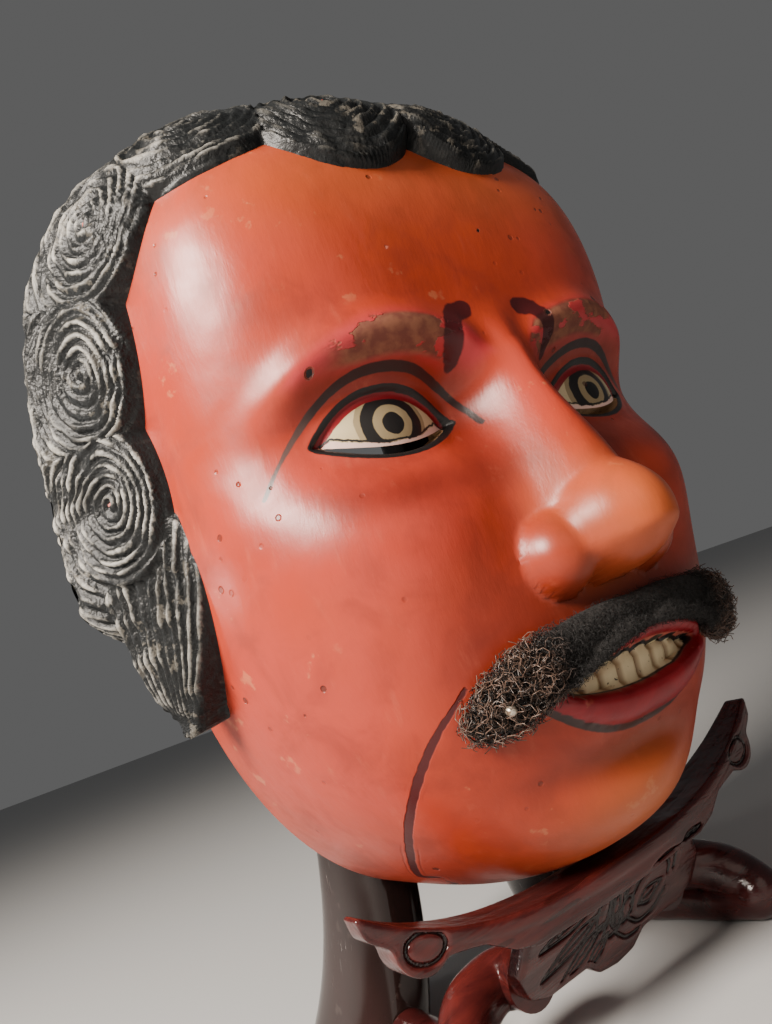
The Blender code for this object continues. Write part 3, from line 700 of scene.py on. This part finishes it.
def paintGuides(thing):                      # distances that the skin paint reads
    points = toMask(corners(thing))
    x, z = points[:, 0], points[:, 2]
    side = np.abs(x)
    eyeSide, eyeUp = side - face["eyeX"], z - face["eyeZ"]
    top, low, gapTop, gapLow = lipLines(x)
    toothTop, toothLow, within = teethLines(x)
    lipAway = np.maximum(np.maximum(z - top, low - z), 0) + np.clip(side - face["mouthHalf"], 0, None)
    lipAway = np.where(lipAway > 0, lipAway, -np.minimum(top - z, z - low))

    def mouthAway(upper, lower, short):
        return np.maximum(np.maximum(z - upper, lower - z), side - face["mouthHalf"] + short)

    brow = browLine(side)
    browAway = np.abs(z - brow + 2) + np.clip(10 - side, 0, None) + np.clip(side - 50, 0, None) * 0.8
    dabAway = awayFromRoute(np.stack([side, z], 1), smoothRoute(guide["dab"], 4)) - 2.4 * ease(104, 114, z)
    jaw = smoothRoute(guide["jaw"], 5)
    jaw = np.stack([jaw[:, 0], faceAt(*jaw.T), jaw[:, 1]], 1)
    lidAway = awayFromRoute(np.stack([eyeSide, eyeUp], 1), smoothRoute(guide["lid"], 4))
    lidAway += 0.45 * ease(15, 24, eyeSide)
    lidAway -= 0.85 * ease(-20, -14, eyeSide) + 0.55 * ease(-14, -20, eyeSide)
    slitAway = np.abs(eyeUp - lowerLid(eyeSide) - 0.4 - face["slitHeight"] / 2) - face["slitHeight"] / 2
    holeAway = np.full(x.shape, 9.0)
    for holes, small in ((guide["tackHoles"], 1.0), (guide["pinHoles"], 1.7)):
        for holeX, holeZ in holes:
            holeAway = np.minimum(holeAway, small * np.hypot(x - holeX, z - holeZ))
    shadow = bumps(side, z, guide["shadows"])
    shadow += 0.7 * np.exp(-((z - brow + 9) / 4.5) ** 2) * ease(14, 22, side) * (1 - ease(44, 58, side))
    values = {"lipAway": lipAway, "gapAway": mouthAway(gapTop, gapLow, 5), "toothEdge": within,
              "toothAway": mouthAway(toothTop, toothLow, 7), "browAlong": side,
              "browAway": browAway + 3.0 * ease(34, 56, side), "dabAway": dabAway,
              "cheekAway": awayFromRoute(np.stack([side, points[:, 1], z], 1), jaw),
              "cheekWidth": 0.45 + 0.55 * ease(46, 30, z), "eyeAway": eyeAway(x, z),
              "eyeUpper": eyeUp - 0.05 * eyeSide, "irisAway": np.hypot(eyeSide + 0.5, eyeUp - 1.0),
              "lidAway": lidAway, "lidAlong": ease(-20, 27, eyeSide), "holeAway": holeAway,
              "slitAway": slitAway + np.clip(np.abs(eyeSide) - face["slitHalf"] + 1.5, 0, None),
              "shadowWash": np.clip(shadow, 0, 1),
              "paintedHighlightWash": np.clip(bumps(side, z, guide["highlightSpots"]), 0, 1)}
    for name, numbers in values.items():
        addValues(thing, name, numbers)


def slitCutter(side):                        # straight through the lid, then opening upwards behind it
    stations = 25
    offsets = np.linspace(-face["slitHalf"], face["slitHalf"], stations)
    low = face["eyeZ"] + lowerLid(offsets) + 0.4
    high = low + face["slitHeight"] * np.sqrt(np.clip(1 - (offsets / (face["slitHalf"] + 0.6)) ** 2, 0, 1))
    x, z = face["eyeX"] + np.concatenate([offsets, offsets[::-1]]), np.concatenate([low, high[::-1]])
    lift = np.repeat((2.0, 24.0), stations)
    ahead, behind = np.full_like(x, -84.0), np.full_like(x, -28.0)
    rings = [(x, ahead, z), (x, faceAt(x, z) - 0.2, z), (x, behind, z + lift)]
    points = np.concatenate([np.stack(ring, 1) for ring in rings]) * (side, 1, 1)
    cutter = makeObject("slitCutter", toScene(points), tubeFaces(3, 2 * stations), [skinPaint, hollowWood],
                        smooth=False)
    for polygon in cutter.data.polygons:
        polygon.material_index = 1
    faceOutwards(cutter)
    return cutter


def buildFace():
    across, up = face["across"], face["up"]
    share, bearing = discGrid(across, up, face["crowd"])
    x, y, z = shellPoint(share, bearing)
    front = faceFront(x, z, -y)
    outer = np.stack([x, np.where(share > 0.9999, 0, np.minimum(-front, -0.35)), z], 1)
    inAcross, inUp = 48, 50
    share, bearing = discGrid(inAcross, inUp, 0.0)
    x, y, z = shellPoint(share, bearing, shell["wall"])
    hollows = ((0, noseBase + 8, 9, 12, 8), (face["eyeX"], face["eyeZ"], 19, 13, -7))
    deeper = bumps(np.abs(x), z, hollows)
    inner = np.stack([x, y - (deeper - 2.0) * ease(0, 30, -y), z], 1)
    faces = np.concatenate([gridFaces(across, up), gridFaces(inAcross, inUp, True, len(outer))])
    thing = makeObject("maskFace", toScene(np.concatenate([outer, inner])), faces, [skinPaint, hollowWood])
    count = across * up
    index = np.zeros(len(faces), dtype=np.int32)
    index[count:] = 1
    thing.data.polygons.foreach_set("material_index", index)
    closeSheets(thing)
    cutters = [slitCutter(side) for side in (-1, 1)]
    for cutter in cutters:
        modifier = thing.modifiers.new("slit", "BOOLEAN")
        modifier.operation, modifier.object, modifier.solver = "DIFFERENCE", cutter, "EXACT"
    applyModifiers(thing)
    for cutter in cutters:
        bpy.data.objects.remove(cutter)
    thing.data.shade_smooth()
    thing.data.set_sharp_from_angle(angle=math.radians(60))
    paintGuides(thing)
    return thing


maskFace = buildFace()
print("face built", triangleCount(maskFace))


def strandEdge(phase):                       # steep on one side of each strand, long on the other
    part, steep = phase - np.floor(phase), 0.24
    rising = np.sin(part / steep * math.pi / 2)
    return np.where(part < steep, rising, np.cos((part - steep) / (1 - steep) * math.pi / 2) ** 1.3)


def dome(away, soft):                        # 1 well inside a curl, falling steeply at its edge
    wall = np.clip((1.04 - away) / soft, -1, 1)
    return np.sign(wall) * (1 - (1 - np.abs(wall)) ** 2.2)


def hairHeight(points, share, bearing):
    edge = hairLine(bearing)
    before = share < edge
    flare = hair["flare"] * np.abs(np.cos(bearing)) ** 0.5 * np.clip((share - edge) / 0.14, -0.7, 1)
    wobble = valueNoise(points, 9.0, 3) * 1.1 + valueNoise(points, 3.4, 5) * 0.42
    broken = 0.78 + 0.40 * valueNoise(points, 3.2, 9)
    rise, nearest = np.full(len(points), -9.0), np.full(len(points), 9.0)
    ridge, chip = np.zeros(len(points)), np.zeros(len(points))
    for number, (place, forward) in enumerate(zip(hair["curls"], hair["forward"])):
        centre = hairPlace(place)
        ahead = unit(hairPlace(place + 1) - centre)
        apart = points - centre
        along = apart @ ahead
        across = np.sqrt(np.clip(np.sum(apart ** 2, axis=1) - along ** 2, 0, None))
        away = np.hypot(along, across / np.where(before, forward, 1)) / hair["radius"]
        curl = (hair["rise"] + flare) * dome(away, 0.17) * (1 - 0.10 * np.clip(away, 0, 1) ** 2)
        rise = np.maximum(rise, curl)
        turn = np.arctan2(across * np.where(before, -1, 1), along) / (2 * math.pi)
        oval = np.hypot(along * 0.92, across * 1.12 / np.where(before, forward ** 0.5, 1))
        phase = (oval + wobble) / hair["pitch"] + (turn if number % 2 else -turn)
        closer = away < nearest
        nearest = np.minimum(nearest, away)
        ridge = np.where(closer, strandEdge(phase) * broken, ridge)
        chip = np.where(closer, np.clip(1 - oval / 2.4, 0, 1) * (number % 2 == 0), chip)
    band = 0.5 * ease(0.90, 0.98, nearest) * ease(0.0, -0.02, share - edge)
    # the straight lock below the curls
    start, end = hairPlace(*hair["lockFrom"]), hairPlace(*hair["lockTo"])
    run, long = end - start, np.sum((end - start) ** 2)
    aside = hairPlace(-19, 0.90) - hairPlace(-19, 0.76)
    aside = unit(aside - run * (aside @ run) / long)
    along = np.clip((points - start) @ run / long, 0, 1)
    beside = points - start - along[:, None] * run
    half = hair["lockRadius"] * (1 - hair["lockTaper"] * along ** 2.5)
    away = np.linalg.norm(beside, axis=1) / half
    lock = (0.75 * hair["rise"] + flare) * (1 - 0.4 * along) * dome(away, 0.20)
    taller = lock > rise
    rise = np.maximum(rise, lock)
    ridge = np.where(taller, strandEdge(beside @ aside / (half / 5.0) + wobble * 0.3) * broken, ridge)
    band = np.where(taller, 0.5 * ease(0.90, 0.98, away) * ease(0, -2, beside @ aside), band)
    chip = np.where(taller, 0, chip)
    # the bed behind the curls
    level, low = np.degrees(np.arcsin(np.sin(bearing))), hair["lockTo"][0]
    back = ease(edge + 0.02, edge + 0.15, share)
    bed = (hair["bed"] + 1.2) * (1 - back) + (0.85 * hair["rise"] + flare + 1.2) * back
    bed = bed * ease(edge, edge + 0.06, share) * ease(low + 6, low + 24, level) - 1.2
    rise = np.maximum(rise, bed)
    shown = ease(0.0, 3.0, rise) * (1 - band)
    height = np.clip(rise, -1.2, None) + shown * hair["ridge"] * (ridge - 0.5) * 1.6
    return height, ridge * (1 - band), chip * (1 - band), band


def buildHair(side):
    along, across, coarse = hair["along"], hair["across"], 5
    bearings = np.radians(np.linspace(90.0, -52.0, along + 1))
    reach = shellReach(bearings, 0.0)
    path = np.stack([reach * np.cos(bearings), reach * np.sin(bearings)], 1)
    length = np.concatenate([[0], np.cumsum(np.linalg.norm(np.diff(path, axis=0), axis=1))])
    bearings = np.interp(np.linspace(0, length[-1], along + 1), length, bearings)
    low = hairLine(bearings) - 0.34 + 0.12 * np.abs(np.cos(bearings))
    shares = np.linspace(0, 1, across + 1)[:, None] * (1 - low)[None] + low[None]
    share, bearing = shares.ravel(), np.tile(bearings, across + 1)

    def onShell(further, turn):
        return np.stack(shellPoint(np.clip(share + further, 0, 1), bearing + turn), 1)

    nudge = 0.004
    points = onShell(0, 0)
    normal = np.cross(onShell(nudge, 0) - onShell(-nudge, 0), onShell(0, nudge) - points)
    normal /= np.linalg.norm(normal, axis=1, keepdims=True) + 1e-9
    height, ridge, chip, band = hairHeight(points, share, bearing)
    outer = points + normal * height[:, None]
    outer[:, 1] = np.where(share > 0.9999, 0, np.minimum(outer[:, 1], -0.35))
    rows, columns = np.arange(0, across + 1, coarse), np.arange(0, along + 1, coarse)
    pick = (rows[:, None] * (along + 1) + columns[None]).ravel()
    sunk = points[pick] - normal[pick] * 2.4
    sunk[:, 1] = np.minimum(sunk[:, 1], -1.4)
    faces = [gridFaces(along, across), gridFaces(along // coarse, across // coarse, True, len(outer))]
    both = np.concatenate([outer, sunk]) * (side, 1, 1)
    name = "hairRight" if side > 0 else "hairLeft"
    thing = makeObject(name, toScene(both), np.concatenate(faces), [blackHair])
    # how strongly the ridge tops lighten, more on the sides and less on the crown and low down: partly worn
    # paint, partly painted highlight
    rubbed = 0.14 + 0.86 * ease(0.3, 0.8, np.abs(np.cos(bearing)))
    rubbed *= 1 - 0.35 * ease(-4, -14, np.degrees(bearing))
    for name, values in (("ridge", ridge), ("chip", chip), ("band", band), ("rubbed", rubbed)):
        addValues(thing, name, np.concatenate([values, np.zeros(len(sunk))]))
    closeSheets(thing)
    return thing


hairPieces = [buildHair(side) for side in (-1, 1)]
print("hair built", [triangleCount(piece) for piece in hairPieces])


strip = {"half": 39.0, "level": 46.5, "sag": 9.5, "rise": (3.6, 3.6), "depth": (3.6, 3.0),
         "count": 4650, "curl": 0.00095, "curlTurns": 1.05, "curlHeight": 2.1, "curlSteps": 6,
         "thick": 0.00007, "tilt": (1.3, 1.3, 3.2), "sizes": (0.6, 1.35), "seed": 7,
         "tackShare": 0.90, "tackDrop": 8.6, "tackOut": 7.6, "tackRadius": 1.15}


def stripSag(x):                             # how far the strip hangs below its middle
    return strip["sag"] * (x / strip["half"]) ** 2


def stripBase():
    stations, around = 90, 24
    turns = np.linspace(0, 2 * math.pi, around + 1)[:-1]
    points = []
    for x in strip["half"] * np.sin(np.linspace(-math.pi / 2, math.pi / 2, stations + 1)):
        share = abs(x) / strip["half"]
        roundOff = math.sqrt(max(1 - share ** 6, 0.02))
        half, thick = (roundOff * (middle + more * share)
                       for middle, more in (strip["rise"], strip["depth"]))
        z = strip["level"] - stripSag(x) + half * np.cos(turns)
        across = np.full_like(z, x)
        points += list(zip(across, faceAt(across, z) - 1.0 - thick * (0.5 + 0.5 * np.sin(turns)), z))
    thing = makeObject("moustacheBacking", toScene(points), tubeFaces(stations + 1, around), [backing])
    faceOutwards(thing)
    local = toMask(corners(thing))
    edge = np.clip(1 - (local[:, 2] - strip["level"] + stripSag(local[:, 0]) - 1.5) / 1.2, 0, 1)
    out = np.abs(local[:, 0]) / strip["half"]
    addValues(thing, "furry", 0.30 + 0.70 * np.maximum(edge, ease(0.45, 0.7, out)))
    addValues(thing, "bushy", 0.42 + 0.78 * ease(0.40, 0.85, out))
    return thing


def buildTack():                             # the head of a small pin at the strip's left end
    x, z = np.array([-strip["tackShare"] * strip["half"]]), np.array([strip["level"] - strip["tackDrop"]])
    mesh = bmesh.new()
    bmesh.ops.create_uvsphere(mesh, u_segments=20, v_segments=12, radius=strip["tackRadius"] * step)
    data = bpy.data.meshes.new("tack")
    mesh.to_mesh(data)
    mesh.free()
    data.transform(Matrix.Translation(toScene(np.stack([x, faceAt(x, z) - strip["tackOut"], z], 1))[0]))
    data.materials.append(tackHead)
    data.shade_smooth()
    return addObject("moustacheTack", data)


def strandTree():
    tree = bpy.data.node_groups.new("curlyStrands", "GeometryNodeTree")
    for name, kind, value in (("Geometry", "Geometry", None), ("Strands per square metre", "Float", 1e6),
                              ("Curl radius", "Float", 0.001), ("Strand radius", "Float", 0.0001),
                              ("Seed", "Int", 1), ("Hair", "Material", None)):
        socket = tree.interface.new_socket(name, in_out="INPUT", socket_type="NodeSocket" + kind)
        if value is not None:
            socket.default_value = value
    tree.interface.new_socket("Geometry", in_out="OUTPUT", socket_type="NodeSocketGeometry")
    given = addNode(tree, "NodeGroupInput", {})

    def add(kind, inputs, **settings):
        return addNode(tree, "GeometryNode" + kind, inputs, **settings)

    def combine(operation, first, second):
        return addNode(tree, "ShaderNodeMath", {0: first, 1: second}, operation=operation)[0]

    def named(name):
        return add("InputNamedAttribute", {"Name": name}, data_type="FLOAT")["Attribute"]

    def random(inputs, kind="FLOAT"):
        return addNode(tree, "FunctionNodeRandomValue", inputs, data_type=kind)

    dense = combine("MULTIPLY", given["Strands per square metre"], named("furry"))
    spread = add("DistributePointsOnFaces", {"Mesh": given["Geometry"], "Density": dense,
                                             "Seed": given["Seed"]}, distribute_method="RANDOM")
    curl = add("CurveSpiral", {"Resolution": strip["curlSteps"], "Rotations": strip["curlTurns"],
                               "Start Radius": 0.75, "End Radius": 1.0, "Height": strip["curlHeight"]})
    ratio = combine("DIVIDE", given["Strand radius"], given["Curl radius"])
    profile = add("CurvePrimitiveCircle", {"Resolution": 3, "Radius": ratio})
    tube = add("CurveToMesh", {"Curve": curl["Curve"], "Profile Curve": profile["Curve"],
                               "Fill Caps": True})
    most = strip["tilt"]
    least = tuple(-angle for angle in most)
    turn = random({"Min": least, "Max": most, "Seed": given["Seed"]}, "FLOAT_VECTOR")
    spin = addNode(tree, "FunctionNodeEulerToRotation", {0: turn[0]})
    turned = addNode(tree, "FunctionNodeRotateRotation", {0: spread["Rotation"], 1: spin[0]},
                     rotation_space="LOCAL")
    smallest, largest = strip["sizes"]
    bushy = combine("MULTIPLY", random({2: smallest, 3: largest})[1], named("bushy"))
    size = combine("MULTIPLY", bushy, given["Curl radius"])
    place = add("InstanceOnPoints", {"Points": spread["Points"], "Instance": tube["Mesh"],
                                     "Rotation": turned[0], "Scale": size})
    keep = add("StoreNamedAttribute", {"Geometry": place[0], "Name": "strandShade", "Value": random({})[1]},
               data_type="FLOAT", domain="INSTANCE")
    real = add("RealizeInstances", {0: keep[0]})
    finish = add("SetMaterial", {"Geometry": real[0], "Material": given["Hair"]})
    addNode(tree, "NodeGroupOutput", {0: finish[0]})
    return tree


def growStrands(base, name, side, tree):
    grower = addObject(name, base.data.copy())
    mesh = bmesh.new()
    mesh.from_mesh(grower.data)
    wrong = [part for part in mesh.faces if part.calc_center_median().x * side < 0]
    bmesh.ops.delete(mesh, geom=wrong, context="FACES")
    area = sum(part.calc_area() for part in mesh.faces)
    mesh.to_mesh(grower.data)
    mesh.free()
    modifier = grower.modifiers.new("strands", "NODES")
    modifier.node_group = tree
    wanted = {"Strands per square metre": strip["count"] / area, "Curl radius": strip["curl"],
              "Strand radius": strip["thick"], "Seed": strip["seed"] + side, "Hair": strandHair}
    for item in tree.interface.items_tree:
        if item.in_out == "INPUT" and item.name in wanted:
            modifier[item.identifier] = wanted[item.name]
    applyModifiers(grower)
    return grower


moustacheBacking = stripBase()
strandNodes = strandTree()
moustacheSides = [growStrands(moustacheBacking, name, side, strandNodes)
                  for name, side in (("moustacheLeft", -1), ("moustacheRight", 1))]
moustacheTack = buildTack()
print("moustache grown", [triangleCount(piece) for piece in moustacheSides])


cradle = {"thick": 14.0, "half": 65.0, "dip": 37.0, "tip": 54.0, "curve": 2.8, "plateHalf": 32.0,
          "plateThick": 6.5, "lean": 0.5, "voxel": 0.00046, "cut": 0.6, "rim": 0.45, "taper": 0.55}


def crestLevel(x):
    return cradle["dip"] + (cradle["tip"] - cradle["dip"]) * (np.abs(x) / cradle["half"]) ** cradle["curve"]


def prism(name, outline, front, back, lean=0.0):
    full = outline + [(-x, z) for x, z in outline[::-1] if x > 0]
    count = len(full)
    points = [(x, depth + lean * (cradle["dip"] - z), z) for depth in (front, back) for x, z in full]
    faces = [[k, (k + 1) % count, (k + 1) % count + count, k + count] for k in range(count)]
    faces += [list(range(count))[::-1], list(range(count, 2 * count))]
    thing = makeObject(name, toStand(points), faces, [standWood], smooth=False)
    faceOutwards(thing)
    bevel = thing.modifiers.new("edges", "BEVEL")
    bevel.width, bevel.segments, bevel.limit_method = 1.5 * step, 3, "ANGLE"
    bevel.angle_limit = math.radians(35)
    return thing


def oval(x, z, wide, high, tilt=0.0):
    turns = np.linspace(0, 2 * math.pi, 29)
    across, up = wide * np.cos(turns), high * np.sin(turns)
    return np.stack([x + across * math.cos(tilt) - up * math.sin(tilt),
                     z + across * math.sin(tilt) + up * math.cos(tilt)], 1)


def leafRoutes(startX, startZ, endX, endZ, wide):     # two bowed edges and a short vein
    start, run = np.array((startX, startZ)), np.array((endX - startX, endZ - startZ))
    across = np.array((-run[1], run[0])) / np.linalg.norm(run) * wide
    routes = []
    for bow in (-across, across):
        turns = [start, start + 0.35 * run + bow, start + 0.7 * run + 0.65 * bow, start + run]
        routes.append((smoothRoute(turns, 5), 0.42))
    return routes + [(smoothRoute([start + 0.15 * run, start + 0.7 * run], 6), 0.30)]


ornament = {"ring": (52.8, 42.6, 4.4, 3.0, 0.25), "ringHalf": 0.42, "loopHalf": 0.44, "bandHalf": 0.48,
            "loops": ((-4.2, 25.6, 1.9, 4.3, -0.5), (0.6, 25.0, 2.3, 4.8, -0.35),
                      (-1.2, 21.0, 3.4, 1.9, 0.3), (3.6, 22.6, 3.2, 1.8, 0.7),
                      (0.2, 24.6, 1.1, 3.2, -0.35)),
            "bands": (((3, 24.5), (6.5, 28.8), (13, 31.2), (19.5, 31.0), (22.8, 28.4), (21.6, 24.8)),
                      ((5.2, 23.2), (8.6, 26.8), (13.5, 28.9), (18, 28.7), (20, 26.8), (19.4, 24.6)),
                      ((4, 20.2), (8, 17.6), (13.5, 18.2), (18, 21)), ((-1, 19.4), (3, 16), (8, 15.6))),
            "leaves": ((-7, 29.5, -25, 26.5, 1.5), (-6, 26, -25, 20.0, 1.7), (-5, 23, -21, 14.8, 1.6),
                       (-3, 20, -12.5, 13.4, 1.3), (21, 31, 29, 32.6, 0.9), (8, 21.6, 17, 23.8, 1.7))}


def ornamentRoutes():                        # rings, ribbon loops, a hooked band and leaves
    x, z, wide, high, tilt = ornament["ring"]
    routes = [(oval(side * x, z, wide, high, side * tilt), ornament["ringHalf"]) for side in (-1, 1)]
    routes += [(oval(*loop), ornament["loopHalf"]) for loop in ornament["loops"]]
    routes += [(smoothRoute(part, 5), ornament["bandHalf"]) for part in ornament["bands"]]
    for leaf in ornament["leaves"]:
        routes += leafRoutes(*leaf)
    return routes


def buildCradle():
    crest = [(x, float(crestLevel(x))) for x in np.linspace(0, cradle["half"], 33)]
    lobe = [(53 + 6.5 * math.cos(a), 44 + 6.5 * math.sin(a)) for a in np.radians(np.arange(10, -131, -10))]
    outline = crest + [(64, 49)] + lobe + [(44, 38), (40, 37), (34, 33), (28, 31), (0, 30)]
    body = prism("standCradle", outline, 0, cradle["thick"])
    wide = cradle["plateHalf"]
    half = [(0, cradle["dip"] - 4), (wide - 4, cradle["dip"] - 4), (wide, 24), (wide - 3, 18), (23, 15.5),
            (10, 15.5), (6, 12), (0, 11)]
    plate = prism("cradlePlate", half, 1, 1 + cradle["plateThick"], cradle["lean"])
    applyModifiers(plate)
    join = body.modifiers.new("join", "BOOLEAN")
    join.operation, join.object, join.solver = "UNION", plate, "EXACT"
    remesh = body.modifiers.new("even", "REMESH")
    remesh.mode, remesh.voxel_size, remesh.use_smooth_shade = "VOXEL", cradle["voxel"], True
    soft = body.modifiers.new("soft", "SMOOTH")
    soft.factor, soft.iterations = 0.5, 3
    applyModifiers(body)
    bpy.data.objects.remove(plate)
    points = corners(body)
    place = points / step
    place[:, 1] -= crestFront
    lost = cradle["taper"] * (np.abs(place[:, 0]) / cradle["half"]) ** 4
    points[:, 1] += (0.25 * cradle["thick"] - place[:, 1]) * lost * step
    normals = np.zeros(len(points) * 3)
    body.data.vertices.foreach_get("normal", normals)
    normals = normals.reshape(-1, 3)
    facing = ease(0.35, 0.8, -normals[:, 1])
    grooveAway = np.full(len(points), 9.0)
    for route, wide in ornamentRoutes():
        grooveAway = np.minimum(grooveAway, awayFromRoute(place[:, [0, 2]], route) - wide)
    grooveAway += 4 * (1 - facing)
    lumps = valueNoise(place, 9.0, 11) * 0.14
    underRim = crestLevel(place[:, 0]) - 2.9 + 0.9 * (np.abs(place[:, 0]) / 60) ** 3 - place[:, 2]
    lumps = lumps - cradle["rim"] * ease(-0.1, 0.9, underRim) * facing
    moved = points + normals * ((lumps - cradle["cut"] * ease(0.8, -0.35, grooveAway)) * step)[:, None]
    body.data.vertices.foreach_set("co", moved.ravel())
    addValues(body, "grooveAway", grooveAway)
    body.data.shade_smooth()
    return body


leg = {"radius": 6.6, "sides": 28, "uneven": 0.02, "start": (24, 15.3, 19.5),
       "turns": ((24, 22, 19.5), (29, 24.5, 19.5), (37, 23, 18), (43.5, 18, 15), (47, 12.5, 11),
                 (47.5, 9, 7.4), (46.5, 13, 6.6), (44, 25, 6.6), (41, 38, 6.6), (40, 48, 6.6),
                 (40, 53.1, 6.6))}


def buildLeg(side):
    route = np.concatenate([[leg["start"]], smoothRoute(leg["turns"], 7)])
    ahead = np.gradient(route, axis=0)
    ahead /= np.linalg.norm(ahead, axis=1, keepdims=True)
    up = np.array((0.0, 0.0, 1.0))
    rings = []
    for k, (place, forward) in enumerate(zip(route, ahead)):
        if k == 0:
            up = np.cross(forward, (1.0, 0.2, 0.1))
        up = unit(up - forward * (up @ forward))
        sideways = np.cross(forward, up)
        turns = np.linspace(0, 2 * math.pi, leg["sides"] + 1)[:-1]
        radius = leg["radius"] * (1 + leg["uneven"] * math.sin(k * 0.55))
        rings.append(place + radius * (np.cos(turns)[:, None] * up + np.sin(turns)[:, None] * sideways))
    points = np.concatenate(rings) * (side, 1, 1)
    points[:, 2] = np.maximum(points[:, 2], 0)
    thing = makeObject("standLegRight" if side > 0 else "standLegLeft", toStand(points),
                       tubeFaces(len(rings), leg["sides"]), [standWood])
    faceOutwards(thing)
    addValues(thing, "grooveAway", np.full(len(thing.data.vertices), 9.0))
    thing.data.set_sharp_from_angle(angle=math.radians(50))
    return thing


hoop = {"half": 10.5, "bend": 3.2, "around": 56, "reach": 25.0, "swell": 10.0, "flare": 17.5, "fall": 34.0,
        "shoulder": 165.0, "top": 219.0, "deep": 18.0, "foot": 34.0, "footFall": 65.0, "edge": 2.6}


def hoopStations():                          # middle of the bar, its outward direction and its inset
    right = []
    for z in np.concatenate([[0, 0.5, 1.3, 2.6], np.linspace(5, hoop["shoulder"] - 3, 54)]):
        inset = hoop["edge"] * (1 - math.sqrt(max(0.0, 1 - max(0.0, 1 - z / hoop["edge"]) ** 2)))
        swell = hoop["swell"] * float(ease(60, 150, z))
        flare = hoop["flare"] * math.exp(-z / hoop["fall"])
        right.append((hoop["reach"] + swell + flare, z, 1.0, 0.0, inset))
    wide, high = hoop["reach"] + hoop["swell"], hoop["top"] - hoop["shoulder"]
    for angle in np.radians(np.arange(0, 90, 5)):
        out = unit(np.array((math.cos(angle) / wide, math.sin(angle) / high)))
        right.append((wide * math.cos(angle), hoop["shoulder"] + high * math.sin(angle), *out, 0.0))
    left = [(-x, z, -dx, dz, inset) for x, z, dx, dz, inset in right[::-1]]
    return right + [(0.0, hoop["top"], 0.0, 1.0, 0.0)] + left


def buildHoop():
    turns = np.linspace(0, 2 * math.pi, hoop["around"] + 1)[:-1] + math.pi / hoop["around"]
    across, along = np.cos(turns), np.sin(turns)
    size = (np.abs(across) ** hoop["bend"] + np.abs(along) ** hoop["bend"]) ** (-1 / hoop["bend"])
    rings = []
    for x, z, outX, outZ, inset in hoopStations():
        half = (hoop["half"] - inset) * across * size
        deep = hoop["deep"] + hoop["foot"] * math.exp(-z / hoop["footFall"]) - inset
        rings.append(np.stack([x + outX * half, postFront + inset / 2 + deep / 2 * (1 + along * size),
                               z + outZ * half], 1))
    thing = makeObject("standHoop", np.concatenate(rings) * step, tubeFaces(len(rings), hoop["around"]),
                       [postLacquer])
    faceOutwards(thing)
    thing.data.set_sharp_from_angle(angle=math.radians(60))
    return thing


standCradle = buildCradle()
standLegs = [buildLeg(side) for side in (-1, 1)]
standHoop = buildHoop()
print("stand built", triangleCount(standCradle))


for piece in [maskFace] + hairPieces:
    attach(piece, "root")
    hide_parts("mask")
for piece in [moustacheBacking, moustacheTack] + moustacheSides:
    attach(piece, "root")
    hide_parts("moustache")
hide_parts("stand_cradle")
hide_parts("stand_leg_left")
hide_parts("stand_leg_right")
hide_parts("stand_post")
for piece in [standCradle] + standLegs:
    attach(piece, "root")
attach(standHoop, "root")


studio = {"floorHalf": 6.0, "floorTone": (0.42, 0.42, 0.42), "worldStrength": 0.27,
          "lights": (("keyLight", (-0.57, -0.12, 0.46), (0, -0.02, 0.11), 0.28, 17, (1.0, 0.91, 0.81)),
                     ("fillLight", (-0.15, -0.9, 0.5), (0, 0, 0.1), 0.9, 1.6, (1.0, 0.84, 0.72)),
                     ("rimLight", (-0.42, 0.26, 0.14), (0, 0, 0.05), 0.08, 0.35, (1.0, 0.95, 0.90))),
          "cameraPlace": (-0.1156, -0.1631, 0.0921), "azimuth": 33.1, "pitch": 9.9, "roll": 20.0,
          "lens": 27.07}


def buildFloor():
    material, w = newMaterial("paleFloor")
    w.colour = studio["floorTone"]
    w.finish(0.9)
    half = studio["floorHalf"]
    points = [(-half, -half, 0), (half, -half, 0), (half, half, 0), (-half, half, 0)]
    floor = makeObject("floor", points, [(0, 1, 2, 3)], [material], smooth=False)


def addLight(name, place, target, size, power, colour):
    data = bpy.data.lights.new(name, "AREA")
    data.shape, data.size, data.energy, data.color = "DISK", size, power, colour
    lamp = addObject(name, data)
    lamp.location = place
    lamp.rotation_euler = (Vector(target) - Vector(place)).to_track_quat("-Z", "Y").to_euler()


def addCamera():
    azimuth, pitch, roll = (math.radians(studio[name]) for name in ("azimuth", "pitch", "roll"))
    flat = math.cos(pitch)
    view = Vector((math.sin(azimuth) * flat, math.cos(azimuth) * flat, math.sin(pitch)))
    level = Vector((math.cos(azimuth), -math.sin(azimuth), 0))
    upright = level.cross(view)
    right = level * math.cos(roll) - upright * math.sin(roll)
    up = level * math.sin(roll) + upright * math.cos(roll)
    data = bpy.data.cameras.new("camera")
    data.lens, data.sensor_width, data.sensor_fit, data.clip_start = studio["lens"], 36, "AUTO", 0.001
    camera = addObject("camera", data)
    turned = Matrix((right, up, -view)).transposed().to_4x4()
    camera.matrix_world = Matrix.Translation(studio["cameraPlace"]) @ turned
    bpy.context.scene.camera = camera


buildFloor()
for light in studio["lights"]:
    addLight(*light)
world = bpy.data.worlds.new("studio")
world.use_nodes = True
sky = world.node_tree.nodes["Background"].inputs
sky["Color"].default_value = (*studio["floorTone"], 1)
sky["Strength"].default_value = studio["worldStrength"]
bpy.context.scene.world = world
addCamera()

bpy.context.view_layer.update()
print("done")
